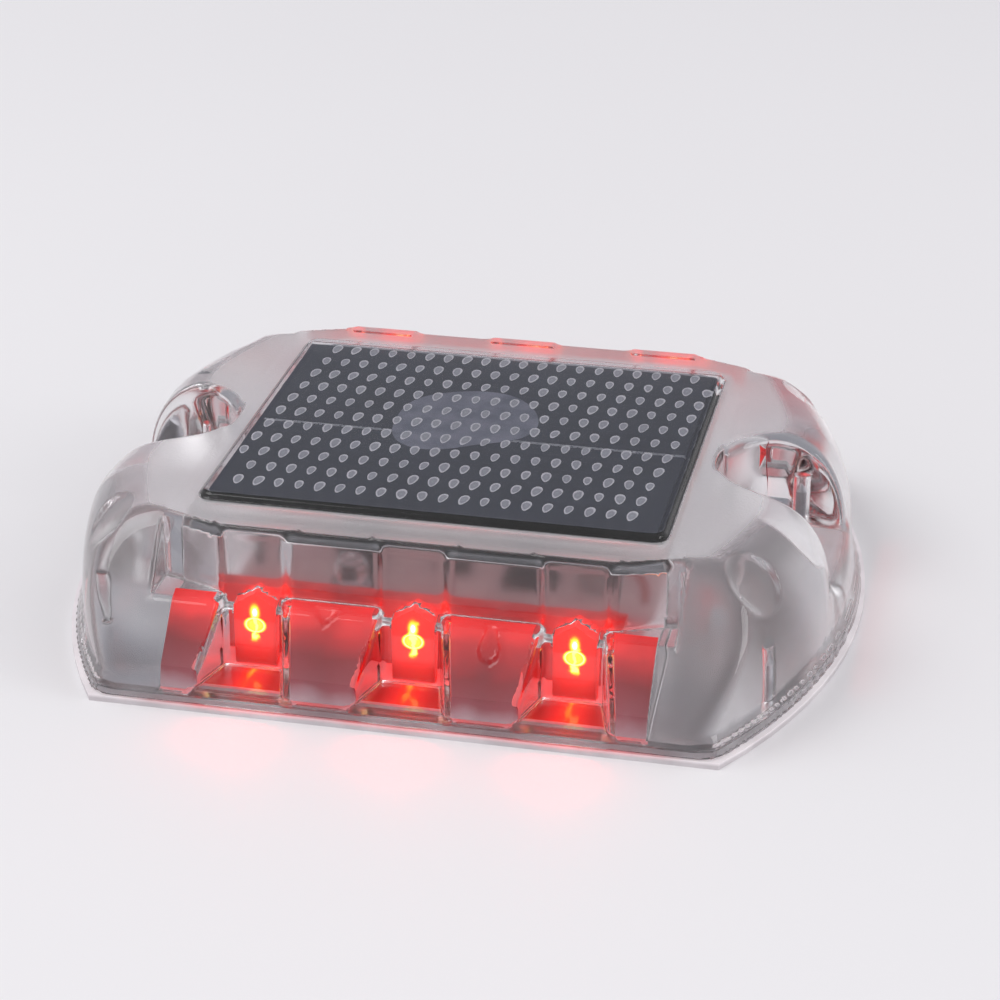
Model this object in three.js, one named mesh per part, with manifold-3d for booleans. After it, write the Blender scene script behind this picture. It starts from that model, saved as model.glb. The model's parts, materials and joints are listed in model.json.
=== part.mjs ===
// Solar road stud with red lights: a clear moulded housing over a solar panel, a lamp board and a battery.
// Millimetres, +Z up, +X along the longer side, origin on the ground under the centre of the stud.
import * as THREE from "three";
import { mergeVertices } from "three/addons/utils/BufferGeometryUtils.js";
import { ConvexGeometry } from "three/addons/geometries/ConvexGeometry.js";
import Module from "manifold-3d";

const wasm = await Module();
wasm.setup();

// ---------- driving dimensions ----------
const LENGTH = 120; // between the crowns of the two bowed ends
const WIDTH = 98.6; // between the two straight long edges
const DECK_Z = 24; // flat top of the housing
const WINDOW_RISE = 1; // the window plateau stands this far above the deck
const END_BOW_RADIUS = 89.5; // plan radius of each bowed end

const RIM_Z = 4.7; // top of the upright rim of the long sides
const RIM_DRAFT = 2; // how far the ends lean in up to RIM_Z
const SHOULDER_REACH = 15.5; // plan length of the rounded shoulder from the rim to the deck
const SHOULDER_FULLNESS = 2.7; // 2 is a quarter ellipse, more is squarer
const SLOPE_TOP_INSET = 15; // how far the sloped long faces run in between the rim and the deck

const WALL = 2.6; // housing wall
const FIT = 0.3; // clearance between pieces that go together
const SEAT = 0.1; // gap left under a piece that sits on another

const PLATE_FLANGE = 1; // visible edge of the base plate
const PLATE_PLUG = 1.2; // the part of the base plate that sits inside the housing
const PLUG_INSET = 3; // from the outline to the plug

const BLOCK_END = 14.4; // the block that stands out of the slopes runs this far past its outer lamps
const BLOCK_TAPER = 3.2; // beyond the outer towers the block's walls come in this far
const BLOCK_WALL_TOP_INSET = 11.6; // from the long edge to the block's wall, at the deck
const BLOCK_WALL_LEAN = 0.5; // the wall comes out this far down to its ledge
const LEDGE_Z = 14; // ledge at the foot of the block's wall

const LAMP_SPACING = 23.2; // between neighbouring lamps of a row
const LAMPS_PER_ROW = 3;
const LAMP_AXIS_Z = 9.4;
const TOWER_WALL = 1.1; // each side of a lamp's pocket, at the tower's face
const TOWER_FLARE = 1.2; // how much wider each side is where the tower meets the block
const TOWER_DROP = 0.5; // a tower's top falls this far from the deck to its face
const TOWER_FACE_TOP_INSET = 10.4; // from the long edge to the tower's face, at the deck
const TOWER_FACE_FOOT_INSET = 8.7; // the same, at the notch floor
const NOTCH_FLOOR_Z = 3.5;
const NOTCH_FLARE = 2.55; // how much wider each side of the notch floor is at the long edge

const LAMP_RADIUS = 2.5;
const LAMP_LIP = 0.4; // the lens's flange reaches this far past its barrel
const LAMP_FLANGE = 1;
const LAMP_LENGTH = 8.6;
const LAMP_WINDOW = 1; // clear wall left between a lamp's tip and its tower's face
const POCKET_GABLE = 1.9; // height of the gable over a lamp's pocket
const LEAD_SIDE = 0.5;
const LEAD_PITCH = 2.54;
const LEAD_RUN = 2.2; // how far the leads go back before they turn down

const SLOT_CENTRE_INSET = 11.9; // from the crown of the end to the fixing slot's round end
const SLOT_RADIUS = 9.8;
const SLOT_FLOOR_Z = 9.5;
const SCALLOP_DEPTH = 1.2; // the ends are scooped in around the fixing slot
const SCALLOP_HALF = 18;
const SCALLOP_RISE = 6; // height over which the scoop fades in above the rim
const FIXING_HOLE_RADIUS = 2.6;

const PANEL_LENGTH = 67;
const PANEL_WIDTH = 59;
const PANEL_BOARD = 1;
const CELL_THICK = 0.3;
const CELL_MARGIN = 1; // bare edge of the panel board
const CELL_GAP = 0.9; // between the two cells
const CELL_SPLIT_Y = -1.5; // middle of that gap
const WINDOW_MARGIN = 0.5; // window plateau beyond the panel
const WINDOW_THICK = 2.1;
const ADHESIVE_RADIUS = 10; // round blob of adhesive under the window
const ADHESIVE_X = -2.5;
const ADHESIVE_Y = 4.5;

const SENSOR_OFFSET = 0.7; // upright light sensor, from the middle of its bay away from the centre
const SENSOR_INSET = 3.5; // from the board's front edge to the sensor
const SENSOR_LENGTH = 5.4;
const SPACER_SIDE = 6; // square block that lifts the sensor off the board
const SPACER_HEIGHT = 3.2;

const BOARD_THICK = 1.6;
const BOARD_Z = 5.6; // underside of the main board
const BOARD_CLEARANCE = 4; // between each end of the board and the end of the cavity
const BOARD_MARGIN = 1.8; // the board runs this far past the lamp leads
const PIN_RADIUS = 1.2; // pins of the base plate that hold the main board
const PIN_SHOULDER = 1.2; // the seat around each pin
const PIN_RISE = 0.8; // the pins stand this far out of the board
const PIN_INSET = 3.5; // from the board's edges to each pin
const BAR_THICK = 2.5; // lamp bar
const BAR_END = 3; // the bar runs this far past its outer lamps
const BAR_TOP_Z = 13.2;

const BATTERY_RADIUS = 5.2;
const BATTERY_LENGTH = 43;
const BATTERY_Y = 7;
const CRADLE_WALL = 1.2;
const CRADLE_FLOOR = 1;
const CRADLE_LENGTH = 38;
const TAB_THICK = 0.5;
const TAB_HALF = 4;
const TIP_LENGTH = 0.8; // raised positive end of the battery
const WIRE_RADIUS = 0.6;
const WIRE_Y = -20;
const WIRE_INSET = 2; // from the board's end to a panel wire
const WIRE_SWAY = 2;

// Parts on the main board: centre, size along X and Y, height.
const CHIP = { x: 12, y: -13, length: 8, width: 6, height: 1.6 };
const DIODE = { x: 0, y: -11.8, length: 5, width: 2.5, height: 2.1 };
const INDUCTOR = { x: -14, y: -14, radius: 3.6, height: 4 };
const CAPACITOR = { x: 22, y: -13, radius: 3, height: 7.5 };

const SCREW_X_INSET = 12.4; // cover screws, from the crown of the end
const SCREW_Y = 32;
const SCREW_RADIUS = 1.4;
const SCREW_LENGTH = 9;
const SCREW_HEAD_RADIUS = 2.8;
const SCREW_HEAD = 1.2;
const DRIVE_REACH = 1.6; // the cross cut in a screw's head
const DRIVE_WIDTH = 0.6;
const DRIVE_DEPTH = 0.6;
const DISH_RADIUS = 4.35; // round dish in the shoulder over each cover screw
const DISH_DEPTH = 1;

const BUTTON_RADIUS = 4;
const BUTTON_LIP = 1.2; // its flange reaches this far past it
const BUTTON_FLANGE = 0.6;
const BUTTON_RECESS = 0.5; // the button's face stays this far above the ground
const BUTTON_TRAVEL = 1;
const BUTTON_Y = -12;
const SWITCH_SIDE = 6;
const PLUNGER_RADIUS = 1.3;
const PLUNGER_DEPTH = 0.5; // how far the plunger reaches into the switch at rest

const GASKET_WIDTH = 1;
const GASKET_THICK = 0.8;

// ---------- values worked out from them ----------
const TOP_Z = DECK_Z + WINDOW_RISE;
const PLATE_TOP = PLATE_FLANGE + PLATE_PLUG;
const HOUSING_FOOT = PLATE_FLANGE + SEAT;
const EDGE_Y = WIDTH / 2;
const PANEL_TOP = TOP_Z - WINDOW_THICK - SEAT;
const CAVITY_TOP = TOP_Z - WINDOW_THICK;
const BOARD_TOP = BOARD_Z + BOARD_THICK;
const SLOT_X = LENGTH / 2 - SLOT_CENTRE_INSET;
const SCREW_X = LENGTH / 2 - SCREW_X_INSET;
const OUTER_LAMP_X = ((LAMPS_PER_ROW - 1) / 2) * LAMP_SPACING;
const BLOCK_HALF = OUTER_LAMP_X + BLOCK_END;
const CAVITY_HALF_X = Math.min(BLOCK_HALF, SLOT_X - SLOT_RADIUS) - WALL;
const LAMP_FLANGE_RADIUS = LAMP_RADIUS + LAMP_LIP;
const POCKET_HALF = LAMP_FLANGE_RADIUS + FIT / 2;
const TOWER_HALF = POCKET_HALF + TOWER_WALL;
const TOWER_ROOT_HALF = TOWER_HALF + TOWER_FLARE;
const NOTCH_MOUTH_HALF = TOWER_HALF + NOTCH_FLARE;
const BLOCK_STRAIGHT_HALF = OUTER_LAMP_X + TOWER_ROOT_HALF;
const BUTTON_FLANGE_RADIUS = BUTTON_RADIUS + BUTTON_LIP;
const BOARD_LENGTH = 2 * (CAVITY_HALF_X - BOARD_CLEARANCE);

// ---------- materials ----------
const clear = new THREE.MeshStandardMaterial({ color: 0xe8e6ea, roughness: 0.05, metalness: 0 });
const smoked = new THREE.MeshStandardMaterial({ color: 0xc9c5c8, roughness: 0.2, metalness: 0 });
const silicon = new THREE.MeshStandardMaterial({ color: 0x2b3140, roughness: 0.3, metalness: 0 });
const laminate = new THREE.MeshStandardMaterial({ color: 0x331a1a, roughness: 0.6, metalness: 0 });
const tinned = new THREE.MeshStandardMaterial({ color: 0xc8cacc, roughness: 0.3, metalness: 1 });
const redLens = new THREE.MeshStandardMaterial({ color: 0xe01810, roughness: 0.1, metalness: 0 });
const clearLens = new THREE.MeshStandardMaterial({ color: 0xd8d8dc, roughness: 0.08, metalness: 0 });
const redPlastic = new THREE.MeshStandardMaterial({ color: 0xa01414, roughness: 0.5, metalness: 0 });
const blackPlastic = new THREE.MeshStandardMaterial({ color: 0x17171a, roughness: 0.6, metalness: 0 });
const greyPlastic = new THREE.MeshStandardMaterial({ color: 0x8c8f94, roughness: 0.6, metalness: 0 });
const sleeve = new THREE.MeshStandardMaterial({ color: 0x3d7a4a, roughness: 0.4, metalness: 0 });
const rubber = new THREE.MeshStandardMaterial({ color: 0x242426, roughness: 0.8, metalness: 0 });
const adhesive = new THREE.MeshStandardMaterial({ color: 0xb9bcc6, roughness: 0.5, metalness: 0 });
const steel = new THREE.MeshStandardMaterial({ color: 0xb4b6ba, roughness: 0.35, metalness: 1 });
const ferrite = new THREE.MeshStandardMaterial({ color: 0x3a3a3e, roughness: 0.7, metalness: 0 });
const redWire = new THREE.MeshStandardMaterial({ color: 0xb02020, roughness: 0.6, metalness: 0 });
const blackWire = new THREE.MeshStandardMaterial({ color: 0x1c1c1c, roughness: 0.6, metalness: 0 });

// ---------- solids ----------
// A closed three.js geometry as a solid that can be joined and cut.
function solid(geometry) {
  const bare = geometry.clone();
  bare.deleteAttribute("normal");
  bare.deleteAttribute("uv");
  const merged = mergeVertices(bare, 1e-4);
  return new wasm.Manifold(
    new wasm.Mesh({
      numProp: 3,
      vertProperties: merged.attributes.position.array,
      triVerts: new Uint32Array(merged.index.array),
    }),
  );
}

function geometryOf(body) {
  const mesh = body.getMesh();
  return new THREE.BufferGeometry()
    .setAttribute("position", new THREE.BufferAttribute(mesh.vertProperties, 3))
    .setIndex(new THREE.BufferAttribute(mesh.triVerts, 1));
}

const stud = new THREE.Group();

function place(name, body, material, parent = stud) {
  const geometry = geometryOf(body);
  geometry.computeVertexNormals();
  const mesh = new THREE.Mesh(geometry, material);
  mesh.name = name;
  parent.add(mesh);
}

const join = (bodies) => bodies.reduce((whole, body) => whole.add(body));
const cut = (body, cutters) => cutters.reduce((rest, cutter) => rest.subtract(cutter), body);

function box(low, high) {
  const size = high.map((value, axis) => value - low[axis]);
  const middle = high.map((value, axis) => (value + low[axis]) / 2);
  return solid(new THREE.BoxGeometry(...size).translate(...middle));
}

// An upright cylinder from z low to z high.
function post(x, y, radius, low, high, sides = 32) {
  const shape = new THREE.CylinderGeometry(radius, radius, high - low, sides);
  return solid(shape.rotateX(Math.PI / 2).translate(x, y, (low + high) / 2));
}

// An outline in X and Y, pushed up from z low to z high.
function prism(shape, low, high, curveSegments = 8) {
  const pushed = new THREE.ExtrudeGeometry(shape, {
    depth: high - low,
    bevelEnabled: false,
    curveSegments,
  });
  return solid(pushed.translate(0, 0, low));
}

// An outline in Y and Z, pushed along X.
function beam(outline, low, high) {
  const shape = new THREE.Shape(outline.map(([y, z]) => new THREE.Vector2(y, z)));
  const pushed = new THREE.ExtrudeGeometry(shape, { depth: high - low, bevelEnabled: false });
  pushed.translate(0, 0, low);
  return solid(
    pushed.applyMatrix4(
      new THREE.Matrix4().makeBasis(
        new THREE.Vector3(0, 1, 0),
        new THREE.Vector3(0, 0, 1),
        new THREE.Vector3(1, 0, 0),
      ),
    ),
  );
}

function wedge(points) {
  return solid(new ConvexGeometry(points.map((point) => new THREE.Vector3(...point))));
}

function roundedRectangle(length, width, radius) {
  const x = length / 2;
  const y = width / 2;
  const shape = new THREE.Shape();
  shape.moveTo(-x + radius, -y);
  shape.lineTo(x - radius, -y);
  shape.absarc(x - radius, -y + radius, radius, -Math.PI / 2, 0);
  shape.absarc(x - radius, y - radius, radius, 0, Math.PI / 2);
  shape.absarc(-x + radius, y - radius, radius, Math.PI / 2, Math.PI);
  shape.absarc(-x + radius, -y + radius, radius, Math.PI, 1.5 * Math.PI);
  return shape;
}

// A solid of revolution about an upright axis, from [radius, z] points that start and end on the axis.
function turned(points, sides = 24) {
  const profile = points.map(([radius, z]) => new THREE.Vector2(radius, z));
  return new THREE.LatheGeometry(profile, sides).rotateX(Math.PI / 2);
}

// A square bar of the given side along a path of points.
function bar(points, side) {
  const path = new THREE.CurvePath();
  points.slice(1).forEach((point, index) => {
    path.add(new THREE.LineCurve3(new THREE.Vector3(...points[index]), new THREE.Vector3(...point)));
  });
  const half = side / 2;
  const legs = path.curves.map((leg) => {
    const low = leg.v1.clone().min(leg.v2).subScalar(half);
    const high = leg.v1.clone().max(leg.v2).addScalar(half);
    return box(low.toArray(), high.toArray());
  });
  return join(legs);
}

// ---------- outer form ----------
const smoothstep = (low, high, value) => THREE.MathUtils.smoothstep(value, low, high);

// How far an end has come in from its foot at height z.
function endInset(z) {
  if (z <= RIM_Z) return (RIM_DRAFT * z) / RIM_Z;
  const rise = Math.min(1, (z - RIM_Z) / (DECK_Z - RIM_Z));
  return RIM_DRAFT + SHOULDER_REACH * (1 - (1 - rise ** SHOULDER_FULLNESS) ** (1 / SHOULDER_FULLNESS));
}

// Half the length of the stud at the height z and the distance y from its middle.
function endX(y, z) {
  const bow = END_BOW_RADIUS - Math.sqrt(END_BOW_RADIUS ** 2 - y ** 2);
  const scoop = 1 - smoothstep(SLOT_RADIUS, SCALLOP_HALF, Math.abs(y));
  const fade = smoothstep(RIM_Z, RIM_Z + SCALLOP_RISE, z);
  return LENGTH / 2 - bow - endInset(z) - SCALLOP_DEPTH * scoop * fade;
}

// The body between the two bowed ends, from z low up to the deck.
function endsBody(low) {
  const steps = 28;
  const angles = [15, 30, 45, 60, 70, 80, 90];
  const levels = [low, RIM_Z].concat(
    angles.map((angle) => RIM_Z + (DECK_Z - RIM_Z) * Math.sin(THREE.MathUtils.degToRad(angle))),
  );
  const points = [];
  for (const z of levels) {
    for (const side of [1, -1]) {
      for (let step = 0; step <= steps; step += 1) {
        const y = side * EDGE_Y * ((2 * step) / steps - 1);
        points.push(side * endX(y, z), y, z);
      }
    }
  }
  const ring = 2 * (steps + 1);
  const faces = [];
  for (let level = 0; level + 1 < levels.length; level += 1) {
    for (let index = 0; index < ring; index += 1) {
      const next = (index + 1) % ring;
      const [a, b] = [level * ring + index, level * ring + next];
      faces.push(a, b, b + ring, a, b + ring, a + ring);
    }
  }
  const last = (levels.length - 1) * ring;
  for (let step = 0; step < steps; step += 1) {
    const across = ring - 1 - step;
    const pair = [step, step + 1, across - 1, across];
    faces.push(pair[0], pair[2], pair[1], pair[0], pair[3], pair[2]);
    faces.push(last + pair[0], last + pair[1], last + pair[2]);
    faces.push(last + pair[0], last + pair[2], last + pair[3]);
  }
  const geometry = new THREE.BufferGeometry()
    .setAttribute("position", new THREE.Float32BufferAttribute(points, 3))
    .setIndex(faces);
  return solid(geometry);
}

// Distance from the long edge to the sloped face at height z.
const slopeInset = (z) => ((z - RIM_Z) * SLOPE_TOP_INSET) / (DECK_Z - RIM_Z);
const slopeWall = (wall) => wall * Math.hypot(1, SLOPE_TOP_INSET / (DECK_Z - RIM_Z));

// Both sides of an outline given as [inset from the long edge, z], from the foot to the top.
function bothSides(half) {
  const front = half.map(([inset, z]) => [inset - EDGE_Y, z]);
  const rear = half.map(([inset, z]) => [EDGE_Y - inset, z]).reverse();
  return rear.concat(front).reverse();
}

// The sloped form between the long edges, from z low up to the deck.
function slopesBody(low) {
  const half = [
    [0, low],
    [0, RIM_Z],
    [SLOPE_TOP_INSET, DECK_Z],
  ];
  return beam(bothSides(half), -LENGTH / 2, LENGTH / 2);
}

function outline(inset) {
  const steps = 20;
  const half = EDGE_Y - inset;
  const right = [];
  for (let step = 0; step <= steps; step += 1) {
    const y = half * ((2 * step) / steps - 1);
    right.push(new THREE.Vector2(endX(y, 0) - inset, y));
  }
  const left = right.map((point) => new THREE.Vector2(-point.x, point.y)).reverse();
  return new THREE.Shape(right.concat(left));
}

// The block that stands out of the slopes, between the heights given and drawn in by the wall given.
function blockForm(low, high, wall, halfLength) {
  const points = [low, high].flatMap((z) => {
    const lean = (BLOCK_WALL_LEAN * (DECK_Z - z)) / (DECK_Z - LEDGE_Z);
    const y = EDGE_Y - BLOCK_WALL_TOP_INSET + lean - wall;
    return [1, -1].flatMap((sideX) =>
      [1, -1].flatMap((sideY) => [
        [sideX * BLOCK_STRAIGHT_HALF, sideY * y, z],
        [sideX * halfLength, sideY * (y - BLOCK_TAPER), z],
      ]),
    );
  });
  return wedge(points);
}

const lampXs = Array.from(
  { length: LAMPS_PER_ROW },
  (unused, index) => (index - (LAMPS_PER_ROW - 1) / 2) * LAMP_SPACING,
);
const rows = [
  { name: "front", side: -1 },
  { name: "rear", side: 1 },
];
const ends = [
  { name: "left", side: -1 },
  { name: "right", side: 1 },
];
const lampNames = ["left", "middle", "right"];

// Distance from the long edge to a tower's face at height z.
function faceInset(z) {
  const rise = (z - NOTCH_FLOOR_Z) / (DECK_Z - NOTCH_FLOOR_Z);
  return TOWER_FACE_FOOT_INSET + (TOWER_FACE_TOP_INSET - TOWER_FACE_FOOT_INSET) * rise;
}

const faceY = (side, z) => side * (EDGE_Y - faceInset(z));

function tower(x, side) {
  const rootY = side * (EDGE_Y - BLOCK_WALL_TOP_INSET - 1);
  const faceTop = DECK_Z - TOWER_DROP;
  const points = [-1, 1].flatMap((edge) => [
    [x + edge * TOWER_HALF, faceY(side, LEDGE_Z - 1), LEDGE_Z - 1],
    [x + edge * TOWER_HALF, faceY(side, faceTop), faceTop],
    [x + edge * TOWER_ROOT_HALF, rootY, LEDGE_Z - 1],
    [x + edge * TOWER_ROOT_HALF, rootY, DECK_Z],
  ]);
  return wedge(points);
}

// The space cut in front of a tower's face, grown by a margin on every side.
function notch(x, side, margin = 0, floor = NOTCH_FLOOR_Z) {
  const flare = (NOTCH_MOUTH_HALF - TOWER_HALF) / TOWER_FACE_FOOT_INSET;
  const outY = side * (EDGE_Y + 2);
  const points = [floor, TOP_Z].flatMap((z) => {
    const backY = faceY(side, z) - side * margin;
    const mouth = TOWER_HALF + flare * Math.abs(outY - backY) + margin;
    return [
      [x - TOWER_HALF - margin, backY, z],
      [x + TOWER_HALF + margin, backY, z],
      [x - mouth, outY, z],
      [x + mouth, outY, z],
    ];
  });
  return wedge(points);
}

const gableZ = LAMP_AXIS_Z + LAMP_FLANGE_RADIUS + POCKET_GABLE;
const pocketInset = faceInset(gableZ) + LAMP_WINDOW;
const lampTipInset = pocketInset + FIT;
const lampFootY = EDGE_Y - lampTipInset - LAMP_LENGTH;
const leadTopY = lampFootY - LEAD_SIDE / 2 - SEAT;
const leadTurnY = leadTopY - LEAD_RUN;
const BOARD_WIDTH = 2 * (leadTurnY + BOARD_MARGIN);
const SENSOR_X = -LAMP_SPACING / 2 - SENSOR_OFFSET;
const SENSOR_Y = SENSOR_INSET - BOARD_WIDTH / 2;

// The gable-topped pocket that holds a lamp behind its tower's face.
function lampPocket(x, side) {
  const outer = side * (EDGE_Y - pocketInset);
  const inner = side * (EDGE_Y - BLOCK_WALL_TOP_INSET - WALL);
  const points = [outer, inner].flatMap((y) => [
    [x - POCKET_HALF, y, 0],
    [x + POCKET_HALF, y, 0],
    [x - POCKET_HALF, y, gableZ - POCKET_GABLE],
    [x + POCKET_HALF, y, gableZ - POCKET_GABLE],
    [x, y, gableZ],
  ]);
  return wedge(points);
}

// ---------- housing ----------
function outerForm() {
  const body = endsBody(HOUSING_FOOT).intersect(slopesBody(HOUSING_FOOT));
  const clearance = box([-BLOCK_HALF, -WIDTH, LEDGE_Z], [BLOCK_HALF, WIDTH, TOP_Z]);
  const block = blockForm(LEDGE_Z - 1, DECK_Z, 0, BLOCK_HALF);
  const plateauShape = roundedRectangle(
    PANEL_LENGTH + 2 * WINDOW_MARGIN,
    PANEL_WIDTH + 2 * WINDOW_MARGIN,
    2 * WINDOW_MARGIN,
  );
  const plateau = prism(plateauShape, DECK_Z - 1, TOP_Z, 4);
  const towers = rows.flatMap(({ side }) => lampXs.map((x) => tower(x, side)));
  return join([body.subtract(clearance), block, plateau, ...towers]);
}

function fixingSlot(side) {
  const x = side * SLOT_X;
  const out = side * LENGTH;
  const [low, high] = [Math.min(x, out), Math.max(x, out)];
  return post(x, 0, SLOT_RADIUS, SLOT_FLOOR_Z, TOP_Z + 1, 40).add(
    box([low, -SLOT_RADIUS, SLOT_FLOOR_Z], [high, SLOT_RADIUS, TOP_Z + 1]),
  );
}

function mainCavity() {
  const drop = ((slopeWall(WALL) - WALL) * (DECK_Z - RIM_Z)) / SLOPE_TOP_INSET;
  const ceiling = LEDGE_Z - WALL;
  const half = [
    [WALL, 0],
    [WALL, RIM_Z - drop],
    [slopeInset(ceiling) + slopeWall(WALL), ceiling],
  ];
  const lower = beam(bothSides(half), -CAVITY_HALF_X, CAVITY_HALF_X);
  const upper = blockForm(HOUSING_FOOT, DECK_Z - WALL, WALL, CAVITY_HALF_X);
  const panelSpace = box(
    [-PANEL_LENGTH / 2 - FIT, -PANEL_WIDTH / 2 - FIT, DECK_Z - WALL - 1],
    [PANEL_LENGTH / 2 + FIT, PANEL_WIDTH / 2 + FIT, CAVITY_TOP],
  );
  const walls = rows.flatMap(({ side }) => lampXs.map((x) => notch(x, side, WALL / 2, -1)));
  const pockets = rows.flatMap(({ side }) => lampXs.map((x) => lampPocket(x, side)));
  return join([cut(lower.add(upper), walls), panelSpace, ...pockets]);
}

// A round dish sunk square to the shoulder over a cover screw.
function dish(sideX, sideY) {
  const power = SHOULDER_FULLNESS;
  const height = DECK_Z - RIM_Z;
  const out = (SCREW_X - endX(SCREW_Y, DECK_Z)) / SHOULDER_REACH;
  const up = (1 - out ** power) ** (1 / power);
  const tilt = Math.atan2(out ** (power - 1) / SHOULDER_REACH, up ** (power - 1) / height);
  const shape = new THREE.CylinderGeometry(DISH_RADIUS, DISH_RADIUS, 2 * DISH_RADIUS, 28);
  shape.rotateX(Math.PI / 2);
  shape.translate(0, 0, DISH_RADIUS - DISH_DEPTH);
  shape.rotateY(sideX * tilt);
  shape.rotateZ(sideX * sideY * Math.asin(SCREW_Y / END_BOW_RADIUS));
  return solid(shape.translate(sideX * SCREW_X, sideY * SCREW_Y, RIM_Z + height * up));
}

const corners = ends.flatMap(({ name: endName, side: sideX }) =>
  rows.map(({ name: rowName, side: sideY }) => ({ name: rowName + "_" + endName, sideX, sideY })),
);

function housing() {
  const notches = rows.flatMap(({ side }) => lampXs.map((x) => notch(x, side)));
  const slots = ends.map(({ side }) => fixingSlot(side));
  const fixingHoles = ends.map(({ side }) =>
    post(side * SLOT_X, 0, FIXING_HOLE_RADIUS, -1, SLOT_FLOOR_Z + 1),
  );
  const screwHoles = corners.map(({ sideX, sideY }) =>
    post(sideX * SCREW_X, sideY * SCREW_Y, SCREW_RADIUS + SEAT, -1, PLATE_FLANGE + SCREW_LENGTH + 1, 16),
  );
  const plugSpace = prism(outline(PLUG_INSET - FIT), 0, PLATE_TOP + SEAT);
  const gasketSpace = prism(outline(PLUG_INSET - GASKET_WIDTH - 2 * SEAT), 0, HOUSING_FOOT + GASKET_THICK);
  const dishes = corners.map(({ sideX, sideY }) => dish(sideX, sideY));
  return cut(outerForm(), [
    ...notches,
    ...slots,
    ...fixingHoles,
    ...screwHoles,
    ...dishes,
    plugSpace,
    gasketSpace,
    mainCavity(),
  ]);
}

// ---------- base plate and its fasteners ----------
const pinSpots = [1, -1].flatMap((sideX) =>
  [1, -1].map((sideY) => [sideX * (BOARD_LENGTH / 2 - PIN_INSET), sideY * (BOARD_WIDTH / 2 - PIN_INSET)]),
);

function basePlate() {
  const flange = prism(outline(0), 0, PLATE_FLANGE);
  const plug = prism(outline(PLUG_INSET), PLATE_FLANGE - SEAT, PLATE_TOP);
  const seatRadius = PIN_RADIUS + PIN_SHOULDER;
  const seats = pinSpots.map(([x, y]) => post(x, y, seatRadius, PLATE_FLANGE, BOARD_Z - SEAT, 16));
  const pins = pinSpots.map(([x, y]) => post(x, y, PIN_RADIUS, PLATE_TOP, BOARD_TOP + PIN_RISE, 16));
  const fixingHoles = ends.map(({ side }) => post(side * SLOT_X, 0, FIXING_HOLE_RADIUS, -1, PLATE_TOP + 1));
  const screwHoles = corners.flatMap(({ sideX, sideY }) => [
    post(sideX * SCREW_X, sideY * SCREW_Y, SCREW_RADIUS + FIT, -1, PLATE_TOP + 1, 16),
    post(sideX * SCREW_X, sideY * SCREW_Y, SCREW_HEAD_RADIUS + FIT, -1, SCREW_HEAD + FIT, 20),
  ]);
  const buttonHole = post(0, BUTTON_Y, BUTTON_RADIUS + FIT, -1, PLATE_TOP + 1, 28);
  return cut(join([flange, plug, ...seats, ...pins]), [...fixingHoles, ...screwHoles, buttonHole]);
}

function gasket() {
  const foot = PLATE_FLANGE + SEAT / 2;
  const outer = prism(outline(PLUG_INSET - GASKET_WIDTH - SEAT), foot, foot + GASKET_THICK);
  const hole = prism(outline(PLUG_INSET - SEAT), 0, TOP_Z);
  return outer.subtract(hole);
}

// A pan-headed screw, its head down.
function coverScrew(x, y) {
  const foot = FIT;
  const points = [
    [0, foot],
    [SCREW_HEAD_RADIUS - 0.3, foot],
    [SCREW_HEAD_RADIUS, foot + 0.4],
    [SCREW_HEAD_RADIUS, foot + SCREW_HEAD - 0.1],
    [SCREW_RADIUS, foot + SCREW_HEAD - 0.1],
    [SCREW_RADIUS, foot + SCREW_LENGTH - 1],
    [0, foot + SCREW_LENGTH],
  ];
  const cross = join(
    [
      [DRIVE_REACH, DRIVE_WIDTH / 2],
      [DRIVE_WIDTH / 2, DRIVE_REACH],
    ].map(([halfX, halfY]) => box([-halfX, -halfY, 0], [halfX, halfY, foot + DRIVE_DEPTH])),
  );
  return solid(turned(points, 16)).subtract(cross).translate([x, y, 0]);
}

// ---------- solar panel ----------
const cellLow = PANEL_TOP - CELL_THICK;
const panelBoardTop = cellLow - SEAT;
const panelBoardLow = panelBoardTop - PANEL_BOARD;

function panelLayer(halfLength, lowY, highY, lowZ, highZ) {
  return box([-halfLength, lowY, lowZ], [halfLength, highY, highZ]);
}

// ---------- lamps ----------
function lensPoints(radius, flangeRadius, length) {
  const points = [
    [0, 0],
    [flangeRadius, 0],
    [flangeRadius, LAMP_FLANGE],
    [radius, LAMP_FLANGE],
  ];
  for (let angle = 0; angle <= 90; angle += 22.5) {
    const turn = THREE.MathUtils.degToRad(angle);
    points.push([angle === 90 ? 0 : radius * Math.cos(turn), length - radius + radius * Math.sin(turn)]);
  }
  return points;
}

// A lamp's lens, lying along Y with its dome outward.
function lampLens(x, side) {
  const shape = turned(lensPoints(LAMP_RADIUS, LAMP_FLANGE_RADIUS, LAMP_LENGTH), 18);
  shape.rotateX((-side * Math.PI) / 2);
  return solid(shape.translate(x, side * lampFootY, LAMP_AXIS_Z));
}

// One of a lamp's two wire legs, back from the lens and down to the board.
function lampLead(x, side) {
  const path = [
    [x, side * leadTopY, LAMP_AXIS_Z],
    [x, side * leadTurnY, LAMP_AXIS_Z],
    [x, side * leadTurnY, BOARD_TOP + LEAD_SIDE / 2 + SEAT],
  ];
  return bar(path, LEAD_SIDE);
}

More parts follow.
